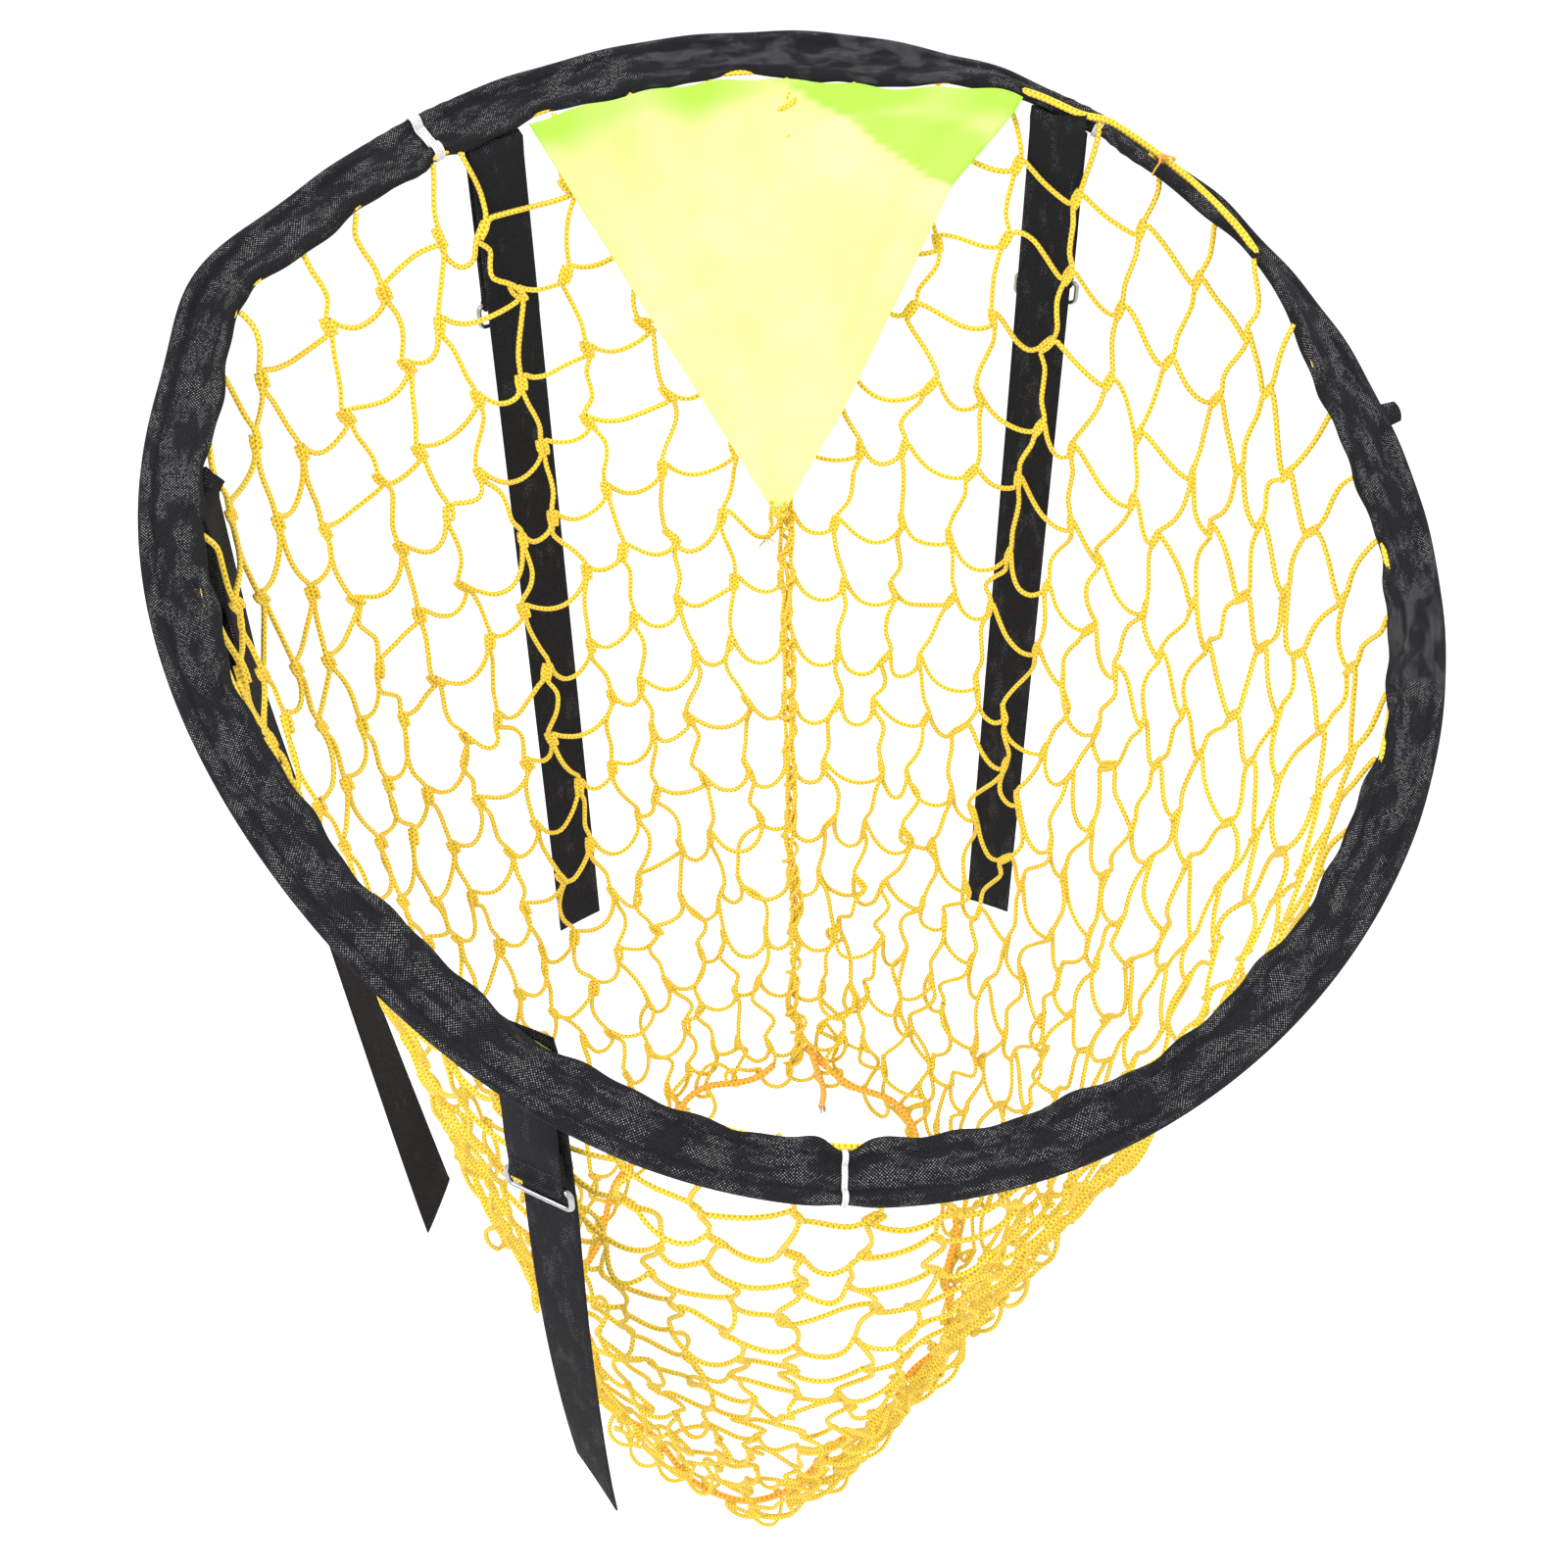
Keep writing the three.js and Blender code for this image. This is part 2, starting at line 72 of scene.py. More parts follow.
BUCKLE = {"width": 34.5, "height": 12.0, "corner": 3.0, "wire": 1.4}
STRAPS = (
    ("top_left", 130.0, 440.0, 0.0, 0.0, 6.0),
    ("top_right", 67.2, 460.0, 0.0, 0.0, -6.0),
    ("left", 182.5, 420.0, -32.0, 5.0, 22.0),
    ("lower_left", 244.8, 262.0, 12.0, 18.0, 26.0),
)


def turn(axis, degrees):
    return np.array(Matrix.Rotation(degrees * DEG, 3, axis))


HOOP = turn("Y", HOOP_ROLL) @ turn("X", HOOP_TILT)


def smooth(x, a, b):
    t = np.clip((x - a) / (b - a), 0, 1)
    return t * t * (3 - 2 * t)


def unit(v):
    return v / np.maximum(np.linalg.norm(v, axis=-1, keepdims=True), 1e-9)


# -------- the hoop's line
def hoop_radius(d):
    d = np.asarray(d, float)
    bend = ((d - HOOP_BEND[0] + 180) % 360 - 180) / HOOP_BEND[2]
    waves = sum(h * np.cos(n * (d - crest) * DEG) for n, h, crest in HOOP_WAVES)
    return HOOP_RADIUS + waves + HOOP_BEND[1] * np.exp(-bend * bend)


def flat(d):
    d = np.asarray(d, float)
    return np.stack([hoop_radius(d) * np.cos(d * DEG), hoop_radius(d) * np.sin(d * DEG), 0 * d], -1)


def lift_at(d):
    a = np.asarray(d, float) % 360
    return LIFT[0] * DEG * smooth(a, LIFT[1], LIFT[2]) * (1 - smooth(a, LIFT[3], LIFT[4]))


def hoop_point(d, out, rise):
    """Point at an angle round the hoop, out along the radius and rise above its plane."""
    d = np.asarray(d, float)
    ahead = unit(flat(d + 0.5) - flat(d - 0.5))
    outward = np.stack([ahead[..., 1], -ahead[..., 0], 0 * d], -1)
    lift = lift_at(d)
    across = out * np.cos(lift) + rise * np.sin(lift)
    above = rise * np.cos(lift) - out * np.sin(lift)
    return (flat(d) + outward * across[..., None] + UP * above[..., None]) @ HOOP.T


# -------- camera
cam_data = bpy.data.cameras.new("camera")
cam = bpy.data.objects.new("camera", cam_data)
bpy.context.scene.collection.objects.link(cam)
bpy.context.scene.camera = cam
cam_data.lens, cam_data.sensor_width = 45, 36
cam_data.sensor_fit = "HORIZONTAL"
cam_data.clip_end = 20
bpy.context.scene.view_settings.view_transform = "Standard"
RIGHT, ABOVE = (0.999967, -0.005427, -0.006024), (0.008108, 0.669300, 0.742948)
AHEAD, EYE = (0.0, 0.742972, -0.669322), (-0.0192, -0.7619, 0.5329)
cam.matrix_world = Matrix([(RIGHT[k], ABOVE[k], -AHEAD[k], EYE[k]) for k in range(3)] + [(0, 0, 0, 1)])


# -------- mesh helpers
def make(name, shape, material, replaces=(), body="root"):
    """A mesh piece from its points in mm, its faces, and a uv pair in mm for each corner."""
    points, faces, uv = shape
    mesh = bpy.data.meshes.new(name)
    mesh.from_pydata((np.asarray(points, float) * MM).tolist(), [], [list(map(int, f)) for f in faces])
    layer = mesh.uv_layers.new(name="UVMap")
    layer.data.foreach_set("uv", np.asarray(uv, np.float32).ravel())
    mesh.polygons.foreach_set("use_smooth", [True] * len(mesh.polygons))
    mesh.materials.append(material)
    mesh.validate()
    mesh.update()
    piece = bpy.data.objects.new(name, mesh)
    bpy.context.scene.collection.objects.link(piece)
    if body:
        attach(piece, body)
    if replaces:
        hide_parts(*replaces)
    return piece


def gaps(line):
    """Length of each span of a line."""
    return np.linalg.norm(np.diff(line, axis=0), axis=1)


def distance(line):
    """Distance along a line to each of its points."""
    return np.r_[0, np.cumsum(gaps(line))]


def spline(points, per, closed=False):
    """Catmull-Rom points through the given ones, `per` for each span."""
    p = np.asarray(points, float)
    if closed:
        p = np.vstack([p[-1:], p, p[:2]])
    else:
        p = np.vstack([2 * p[0] - p[1], p, 2 * p[-1] - p[-2]])
    a, b, c, d = p[:-3], p[1:-2], p[2:-1], p[3:]
    t = (np.arange(per) / per)[None, :, None]
    a, b, c, d = (q[:, None, :] for q in (a, b, c, d))
    out = 0.5 * (2 * b + (c - a) * t + (2 * a - 5 * b + 4 * c - d) * t**2 + (3 * b - a - 3 * c + d) * t**3)
    out = out.reshape(-1, 3)
    return out if closed else np.vstack([out, p[-2][None]])


def frames(line, closed=False):
    """Parallel-transported side directions along a line."""
    if closed:
        tangent = unit(np.roll(line, -1, 0) - np.roll(line, 1, 0))
    else:
        tangent = unit(np.gradient(line, axis=0))
    side = np.zeros_like(line)
    s = np.cross(tangent[0], UP if abs(tangent[0][2]) < 0.9 else np.array([1.0, 0, 0]))
    for i, t in enumerate(tangent):
        s = s - t * (s @ t)
        s = s / max(np.linalg.norm(s), 1e-9)
        side[i] = s
    return tangent, side, np.cross(tangent, side)


def tubes(lines, radius, sides=6, closed=False):
    """Round cords along several lines. radius is a number or a list of arrays."""
    points, faces, uvs, base = [], [], [], 0
    around = np.arange(sides)[None, :] / sides * 2 * math.pi
    for k, line in enumerate(lines):
        n = len(line)
        r = radius[k] if isinstance(radius, (list, tuple)) else radius
        r = np.broadcast_to(np.asarray(r, float), (n,))
        _, side, other = frames(line, closed)
        points.append((line[:, None, :] + r[:, None, None] * (
            side[:, None, :] * np.cos(around)[..., None] + other[:, None, :] * np.sin(around)[..., None]
        )).reshape(-1, 3))
        i, j = np.meshgrid(np.arange(n if closed else n - 1), np.arange(sides), indexing="ij")
        i2, j2 = (i + 1) % n, (j + 1) % sides
        quad = np.stack([i * sides + j, i * sides + j2, i2 * sides + j2, i2 * sides + j], -1)
        faces.append(quad.reshape(-1, 4) + base)
        length = distance(line)
        end = length[-1] + (np.linalg.norm(line[0] - line[-1]) if closed else 0)
        v0, v1 = length[i], np.where(i + 1 < n, length[(i + 1) % n], end)
        u0, u1 = j / sides, (j + 1) / sides
        corners = (u0, v0), (u1, v0), (u1, v1), (u0, v1)
        uvs.append(np.stack([np.stack(corner, -1) for corner in corners], -2).reshape(-1, 2))
        base += n * sides
    out = np.vstack(faces).tolist()
    if not closed:
        base = 0
        for line in lines:
            n = len(line)
            out.append([base + j for j in range(sides)][::-1])
            out.append([base + (n - 1) * sides + j for j in range(sides)])
            base += n * sides
        uvs.append(np.zeros((2 * sides * len(lines), 2)))
    return np.vstack(points), out, np.vstack(uvs)


def loft(n, m, corners, u, along, cap):
    """Faces and uv of n rings of m points; corners is the order in which a face takes (ring, point)."""
    faces, uv = [], []
    for i in range(n - 1):
        for j in range(m):
            faces.append([(i + a) * m + (j + b) % m for a, b in corners])
            uv += [(u[b][j], along[i + a]) for a, b in corners]
    for end, order in ((0, 1), (n - 1, -1)):
        faces.append([end * m + j for j in range(m)][::order])
        uv += [cap(j, end) for j in range(m)][::order]
    return faces, np.array(uv)


def border_of(wide, high):
    """Steps round the edge of a grid, each as a pair of neighbouring places."""
    edge = [(i, 0) for i in range(wide)] + [(wide, j) for j in range(high)]
    edge += [(i, high) for i in range(wide, 0, -1)] + [(0, j) for j in range(high, 0, -1)]
    return zip(edge, edge[1:] + edge[:1])


def join_parts(parts):
    points, faces, uvs, base = [], [], [], 0
    for p, f, u in parts:
        points.append(p)
        faces += [[base + int(i) for i in face] for face in f]
        uvs.append(u)
        base += len(p)
    return np.vstack(points), faces, np.vstack(uvs)


# -------- materials
class Nodes:
    """Short words for building a node tree."""

    def __init__(self, name):
        self.material = bpy.data.materials.new(name)
        self.material.use_nodes = True
        self.tree = self.material.node_tree
        self.shader = self.tree.nodes["Principled BSDF"]

    def new(self, kind, **values):
        node = self.tree.nodes.new("ShaderNode" + kind)
        for key, value in values.items():
            if key[0].isupper():
                node.inputs[key.replace("_", " ")].default_value = value
            else:
                setattr(node, key, value)
        return node

    def link(self, a, b):
        self.tree.links.new(a, b)
        return b

    def math(self, op, a, b=None, c=None, clamp=False):
        node = self.new("Math", operation=op, use_clamp=clamp)
        for i, v in enumerate((a, b, c)):
            if v is None:
                continue
            if isinstance(v, (int, float)):
                node.inputs[i].default_value = v
            else:
                self.link(v, node.inputs[i])
        return node.outputs[0]

    def mul(self, a, b):
        return self.math("MULTIPLY", a, b)

    def add(self, a, b):
        return self.math("ADD", a, b)

    def above(self, value, edge, gain):
        """0 up to the edge, then rising by the gain to 1."""
        return self.math("MULTIPLY", self.math("SUBTRACT", value, edge), gain, clamp=True)

    def uv(self):
        node = self.new("UVMap", uv_map="UVMap")
        split = self.new("SeparateXYZ")
        self.link(node.outputs[0], split.inputs[0])
        return node.outputs[0], split.outputs[0], split.outputs[1]

    def noise(self, scale, detail=3.0, vector=None, rough=0.5):
        node = self.new("TexNoise", Scale=scale, Detail=detail, Roughness=rough)
        if vector is not None:
            self.link(vector, node.inputs["Vector"])
        return node.outputs["Fac"]

    def ramp(self, fac, stops):
        node = self.new("ValToRGB")
        ramp = node.color_ramp
        while len(ramp.elements) < len(stops):
            ramp.elements.new(0.5)
        for element, (at, color) in zip(ramp.elements, stops):
            element.position, element.color = at, (*color, 1)
        self.link(fac, node.inputs[0])
        return node.outputs[0]

    def mix(self, fac, a, b, mode="MIX"):
        node = self.new("Mix", data_type="RGBA", blend_type=mode)
        for value, socket in ((fac, node.inputs[0]), (a, node.inputs[6]), (b, node.inputs[7])):
            if isinstance(value, (int, float)):
                socket.default_value = value
            elif isinstance(value, tuple):
                socket.default_value = (*value, 1)
            else:
                self.link(value, socket)
        return node.outputs[2]

    def bump(self, height, strength, distance):
        node = self.new("Bump", Strength=strength, Distance=distance)
        self.link(height, node.inputs["Height"])
        self.link(node.outputs[0], self.shader.inputs["Normal"])
        return node

    def coords(self):
        return self.new("TexCoord").outputs["Object"]

    def put(self, **values):
        for key, value in values.items():
            socket = self.shader.inputs[key.replace("_", " ")]
            if isinstance(value, (int, float, tuple)):
                socket.default_value = (*value, 1) if isinstance(value, tuple) else value
            else:
                self.link(value, socket)


def woven(name, period, dark, light, glint, patch_scale, wrinkle, rough):
    """Plain weave on uv in mm: rows of small yarn crowns, some of which catch the light."""
    n = Nodes(name)
    vector, u, v = n.uv()
    cu = n.math("SINE", n.mul(u, 2 * math.pi / period))
    cv = n.math("SINE", n.mul(v, 2 * math.pi / period))
    height = n.math("MULTIPLY_ADD", n.mul(cu, cv), 0.5, 0.5)
    place = n.coords()
    facing = n.new("VectorMath", operation="DOT_PRODUCT")
    n.link(n.new("NewGeometry").outputs["Normal"], facing.inputs[0])
    # the yarns shine most where the cloth faces up and to the front left
    facing.inputs[1].default_value = (-0.32, -0.45, 0.83)
    streak = n.new("Mapping")
    n.link(vector, streak.inputs["Vector"])
    streak.inputs["Scale"].default_value = (patch_scale, patch_scale / 3, 1.0)
    patch = n.noise(1.0, 4.0, streak.outputs[0], 0.62)
    patch = n.add(patch, n.mul(facing.outputs["Value"], 0.14))
    mask = n.above(patch, 0.58, 9.0)
    fine = n.above(n.noise(1100.0, 2.0, place, 0.6), 0.40, 5.0)
    lit = n.mul(n.math("POWER", height, 6.0), n.math("MULTIPLY_ADD", mask, 0.93, 0.07))
    lit = n.math("MULTIPLY", lit, fine, clamp=True)
    # painted shade: the hollows of the weave take the dark colour and the yarn crowns the light one
    base = n.mix(height, dark, light)
    dust = n.above(n.noise(26.0, 4.0, place, 0.6), 0.5, 1.6)
    base = n.mix(n.mul(dust, 0.25), base, tuple(1.8 * c for c in light))
    n.put(Base_Color=n.mix(lit, base, glint))
    n.put(Roughness=n.math("MULTIPLY_ADD", lit, -0.3, rough), Specular_IOR_Level=0.09)
    folds = n.new("Bump", Strength=wrinkle, Distance=0.004)
    n.link(n.noise(75.0, 3.0, place, 0.55), folds.inputs["Height"])
    relief = n.add(height, n.mul(n.noise(260.0, 2.0, place), 0.6))
    n.link(folds.outputs[0], n.bump(relief, 0.6, 0.0005).inputs["Normal"])
    return n.material


def braided(name, pitch, groove_shade, body, crest, dust, fuzz):
    """Braided cord on uv: u once round the cord, v along it in mm."""
    n = Nodes(name)
    _, u, v = n.uv()
    along = n.mul(v, 2 * math.pi / pitch)
    round_ = n.mul(u, 2 * math.pi * 2)
    one = n.math("SINE", n.add(along, round_))
    two = n.math("SINE", n.math("SUBTRACT", along, round_))
    height = n.math("MULTIPLY_ADD", n.math("MAXIMUM", one, two), 0.5, 0.5)
    place = n.coords()
    speckle = n.noise(1500.0, 3.0, place, 0.7)
    tone = n.add(n.mul(height, 0.72), n.mul(speckle, 0.42))
    # painted shade: the ramp gives the grooves between the strands a darker colour than the body, and the crests
    # a paler one
    color = n.ramp(tone, ((0.18, groove_shade), (0.5, body), (0.95, crest)))
    age = n.above(n.noise(35.0, 3.0, place), 0.45, 2.2)
    n.put(Base_Color=n.mix(age, color, n.mix(0.55, color, dust)))
    n.put(Roughness=n.math("MULTIPLY_ADD", speckle, 0.25, 0.6))
    n.put(Sheen_Weight=fuzz, Sheen_Roughness=0.5, Specular_IOR_Level=0.15)
    n.bump(n.add(height, n.mul(speckle, 0.5)), 0.8, 0.0006)
    return n.material


def metal(name, color, rough, scratch):
    n = Nodes(name)
    place = n.coords()
    grain = n.noise(scratch, 4.0, place, 0.7)
    n.put(Base_Color=n.mix(n.mul(grain, 0.5), color, tuple(0.55 * c for c in color)))
    n.put(Metallic=1.0, Roughness=n.math("MULTIPLY_ADD", grain, 0.25, rough))
    n.bump(grain, 0.15, 0.0001)
    return n.material


def grey(value, blue=0.0):
    return value, value, value + blue


webbing = woven("webbing", 1.7, grey(0.005, 0.001), grey(0.017, 0.002), grey(0.26, 0.01), 0.10, 0.12, 0.8)
sleeving = woven("sleeve_cloth", 1.5, grey(0.005, 0.001), grey(0.015, 0.002), grey(0.62, 0.01), 0.13, 0.55, 0.74)
# braids: name, pitch in mm, colour in the grooves (painted shade), body, crests, dust, fuzz
net_cord, seam_mat, rope_mat, thread, black_thread = (braided(*row) for row in (
    ("net_cord", 2.6, (0.38, 0.17, 0.008), (0.80, 0.50, 0.018), (0.94, 0.72, 0.08), (0.66, 0.36, 0.03), 0.12),
    ("seam_cord", 2.2, (0.52, 0.24, 0.012), (0.84, 0.52, 0.03), (0.95, 0.70, 0.08), (0.82, 0.50, 0.05), 0.15),
    ("drawstring", 3.4, (0.52, 0.16, 0.01), (0.84, 0.34, 0.02), (0.93, 0.52, 0.06), (0.85, 0.45, 0.05), 0.3),
    ("white_thread", 1.0, (0.55, 0.55, 0.52), (0.82, 0.82, 0.80), (0.9, 0.9, 0.88), (0.8, 0.79, 0.74), 0.3),
    ("black_thread", 1.0, grey(0.004), grey(0.015, 0.001), grey(0.05), grey(0.02), 0.1),
))
bright_wire = metal("bright_wire", (0.50, 0.50, 0.52), 0.16, 300.0)
spring = metal("spring_wire", (0.30, 0.31, 0.33), 0.35, 500.0)
tube_steel = metal("ferrule", (0.6, 0.6, 0.62), 0.3, 400.0)


def pennant_material():
    """Thin fluorescent cloth: pale where the light comes through it, greener where it is folded double, with the
    shade of its folds painted in as greener streaks.
    """
    n = Nodes("pennant_cloth")
    _, u, v = n.uv()
    period = 0.9
    weave = n.mul(n.math("SINE", n.mul(u, 2 * math.pi / period)),
                   n.math("SINE", n.mul(v, 2 * math.pi / period)))
    place = n.coords()
    cloud = n.noise(18.0, 4.0, place, 0.6)
    # the green tint: where the cloth is folded double, along its top edge, on the left, and as painted fold
    # shade
    tint = n.new("Attribute", attribute_name="green_tint_and_fold_shade").outputs["Fac"]
    pale = n.mix(n.above(cloud, 0.42, 3.0),
                 (0.62, 0.75, 0.24), (0.70, 0.77, 0.36))
    color = n.mix(tint, pale, (0.33, 0.70, 0.05))
    n.put(Base_Color=color, Roughness=0.62, Specular_IOR_Level=0.3)
    n.put(Sheen_Weight=0.25, Sheen_Roughness=0.4)
    # painted glow: a faint emission in the cloth's own colour, partly for its fluorescence, partly for the light
    # coming through it
    n.put(Emission_Color=color, Emission_Strength=0.2)
    n.bump(n.add(n.mul(weave, 0.3), n.mul(n.noise(60.0, 3.0, place), 0.8)),
           0.3, 0.0004)
    return n.material


pennant_mat = pennant_material()

# -------- the bag's shape
def outlet_point(angle):
    a = (np.asarray(angle, float) - OUTLET_TURN) * DEG
    across, back = np.cos(a), np.sin(a)
    front = (1 - back) / 2
    x = OUTLET["halfWidth"] * across * np.abs(across) ** (OUTLET_PINCH * front) + OUTLET_ASIDE * front
    y = OUTLET["halfLength"] * back
    return np.stack([x, y, OUTLET_SLOPE * y], -1) + OUTLET["middle"]


def bag_rim(angle, radius=BAG_RIM):
    a = np.asarray(angle, float)
    r = radius * hoop_radius(a) / HOOP_RADIUS
    return np.stack([r * np.cos(a * DEG), r * np.sin(a * DEG), 0 * a], -1) @ HOOP.T


def bag_point(angle, depth, radius=BAG_RIM):
    rim, low = bag_rim(angle, radius), outlet_point(angle)
    depth = np.broadcast_to(np.asarray(depth, float), np.shape(angle))[..., None]
    p = rim + (low - rim) * depth**BAG_FULLNESS
    p[..., 2] = (rim + (low - rim) * depth)[..., 2]
    return p


# -------- straps' places
def strap_place(at):
    """Where a strap crosses the hem, and its directions."""
    hem = hoop_point(np.array(at), -HEM_INSET, 0.0 * np.array(at))
    run = unit((flat(np.array(at + 0.5)) - flat(np.array(at - 0.5))) @ HOOP.T)
    outward = unit(np.array([run[1], -run[0], 0.0]))
    across = np.cross(UP, outward)
    rise = run[2] / math.hypot(run[0], run[1]) * (1 if run @ across > 0 else -1)
    tab = hem + outward * TAB_OUT - UP * (TAB_BELOW + abs(rise) * TAB_WIDTH / 2)
    return {"hem": hem, "run": run, "out": outward, "across": across, "rise": rise, "tab": tab}


HEM_REACH = HEM_CORE + CLOTH + SADDLE_SLACK + WEB
PLACES = {name: strap_place(at) for name, at, *_ in STRAPS}


# -------- net: shape, simulation, cords
COLUMNS, ROWS, CELL, JOIN = 44, 16, 41.0, 8.0
SLACK = 1.0                         # cord in each column, against the length of the wall it hangs in
VERTICAL, HORIZONTAL = 4, 5          # lengths of cord simulated in each side of a mesh
RIM_HIDDEN = (-HEM_INSET - HEM_CORE, -1.0)
WALL_PLAY = 5.0                     # how far a cord may hang outside the wall
STEPS, QUICK_STEPS, ROUNDS, STEP = 260, 60, 14, 0.004
GRAVITY, DAMPING, TOP_SPEED = 3000.0, 0.985, 1500.0
FOLDED, FOLD_STIFF, BEND_STIFF = 0.80, 0.5, 0.012      # a cord resists a tight fold more than a bend


def head_path(d):
    """Where the head cord runs, as (out, rise): in the hem, but bare near the top right tie."""
    d = np.asarray(d, float) % 360
    at = [0, 40, 42.5, 44.5, 50, 56, 61.5, 63, 64.5, 70.5, 72, 74, 360]
    out = [-21, -21, -22, -24, -20, -16, -13.5, -17, -25.3, -25.4, -24, -21, -21]
    rise = [0, 0, 2.5, 4.2, 4.6, 4.7, 4.9, 6.0, 2.6, 2.2, 1.0, 0, 0]
    return np.interp(d, at, out), np.interp(d, at, rise)


def even_angles(count, rng):
    """Angles of the columns, clockwise from the seam, evenly spaced along the hem."""
    d = np.linspace(0, 360, 3601)
    p = hoop_point(SEAM_ANGLE - d, -HEM_INSET, 0 * d)
    s = distance(p)
    want = np.linspace(0, s[-1], count + 1)
    want[1:-1] += rng.uniform(-6, 6, count - 1)
    angles = SEAM_ANGLE - np.interp(want, s, d)
    for _, at, *_ in STRAPS:      # a strap's webbing is in the way of the hem
        off = (angles - at + 180) % 360 - 180
        near = np.abs(off) < 4.0
        angles[near] += (np.where(off < 0, -4.0, 4.0) - off)[near]
    return angles


def net_bones(rng):
    """Particles and cords of the net: each knot is a short vertical join of two particles."""
    angles = even_angles(COLUMNS, rng)
    d = np.linspace(0, 360, 1441)
    ring = outlet_point(SEAM_ANGLE - d)
    s = distance(ring)
    low_angle = SEAM_ANGLE - np.interp(np.linspace(0, s[-1], COLUMNS + 1), s, d)
    points, fixed, cords, column = [], [], [], []

    def add(p, place, hold=False):
        points.append(np.array(p, float))
        fixed.append(hold)
        column.append(place)
        return len(points) - 1

    bare = (angles % 360 > 42) & (angles % 360 < 73)
    h_out, h_rise = head_path(angles)
    rim = [add(hoop_point(a, o, r), i, True) for i, (a, o, r) in enumerate(zip(
        angles, np.where(bare, h_out, RIM_HIDDEN[0]), np.where(bare, h_rise - 2, RIM_HIDDEN[1])))]
    top = np.zeros((COLUMNS + 1, ROWS + 1), int)
    low = np.zeros_like(top)
    side = []
    for i in range(COLUMNS + 1):
        top[i, 0] = low[i, 0] = rim[i]
        start, end = points[rim[i]], outlet_point(low_angle[i])

        def at(f, start=start, end=end):
            p = start + (end - start) * f**BAG_FULLNESS
            p[2] = start[2] + (end[2] - start[2]) * f
            return p

        path = np.array([at(f) for f in np.linspace(0, 1, 40)])
        wall = float(gaps(path).sum())
        side.append(SLACK * wall / ROWS - JOIN)
        for j in range(1, ROWS + 1):
            last = j == ROWS
            top[i, j] = add(at(j / ROWS - JOIN / (ROWS * CELL)) + rng.normal(0, 1.2, 3), i)
            low[i, j] = add(at(j / ROWS) + rng.normal(0, 1.6 if last else 1.2, 3), i, last)

    def chain(a, b, count, length, kind):
        p, q = points[a], points[b]
        f, g = column[a], column[b]
        inner = [add(p + (q - p) * k / count + rng.normal(0, 1.6, 3), f + (g - f) * k / count)
                 for k in range(1, count)]
        cords.append(([a, *inner, b], length / count, kind))
        return [a, *inner, b]

    columns = []
    for i in range(COLUMNS + 1):
        line = []
        for j in range(ROWS):
            line += chain(low[i, j], top[i, j + 1], VERTICAL, side[i] * rng.uniform(0.93, 1.07), "v")
        columns.append(line + [low[i, ROWS]])
    rows = []
    for j in range(1, ROWS + 1):
        for i in range(COLUMNS):
            slack = rng.uniform(0.90, 1.08)
            rows.append((i, j, chain(top[i, j], low[i + 1, j], HORIZONTAL, CELL * slack, "h")))
    points, column = np.array(points), np.array(column)
    ends = [np.stack([np.interp(column, range(COLUMNS + 1), points[knots][:, k]) for k in range(3)], 1)
            for knots in (np.array(rim), low[:, -1])]
    return points, np.array(fixed), top, low, cords, columns, rows, ends


# each strap's long leg, where it hangs, so that the net stays inside it
WALLS = [(*(PLACES[name][key] for key in ("hem", "out", "across")), leg, sway, curl)
         for name, _, leg, sway, curl, _ in STRAPS]


def keep_inside_straps(p, weight):
    for hem, out, across, leg, sway, curl in WALLS:
        rel = p - hem
        down = -rel[:, 2]
        s = np.clip((down - FIXED_DROP) / leg, 0, 1)
        wall = -HEM_REACH - CORD_RADIUS - 0.8 + sway * s - curl * s * s
        over = rel @ out - wall
        hit = (np.abs(rel @ across) < WEB_WIDTH / 2 + 4) & (down > 9) & (down < FIXED_DROP + leg + 3)
        hit &= (over > 0) & (over < 30) & (weight > 0)
        p[hit] -= over[hit][:, None] * out


def keep_to_wall(p, ends, weight):
    """Stops the net bellying out past the line from its rim to its drawn-in edge."""
    start, end = ends
    f = np.clip((start[:, 2] - p[:, 2]) / (start[:, 2] - end[:, 2]), 0, 1)[:, None]
    wall = start + (end - start) * f**BAG_FULLNESS
    centre = OUTLET["middle"] * np.array([1, 1, 0])
    out = unit((start + end) / 2 * np.array([1, 1, 0]) - centre)
    over = np.sum((p - wall) * out, axis=1) - WALL_PLAY
    p -= out * (np.maximum(over, 0) * weight)[:, None]


def keep_behind_pennant(p, weight):
    """Pushes cords out of the pennant: a cone from its tip to its stretch of the hoop."""
    normal = HOOP[:, 2]
    rel = p - PENNANT_TIP
    t = -(rel @ normal) / (normal @ PENNANT_TIP)
    t = np.where(np.abs(t) < 0.02, 0.02, t)
    e = (PENNANT_TIP + rel / t[:, None]) @ HOOP
    angle, radius = np.degrees(np.arctan2(e[:, 1], e[:, 0])), np.hypot(e[:, 0], e[:, 1])
    need = hoop_radius(angle) - PENNANT["inset"] + CORD_RADIUS + 0.5 + 2.5 * np.sin(np.pi * np.clip(t, 0, 1))
    inside = (t > 0.02) & (t < 1.02) & (angle > PENNANT["to"] - 1) & (angle < PENNANT["from"] + 1)
    lack = np.where(inside & (radius > 200), np.maximum(need - radius, 0) * t * weight, 0)
    out = np.stack([e[:, 0] / radius, e[:, 1] / radius, 0 * radius], -1) @ HOOP.T
    p += out * lack[:, None]


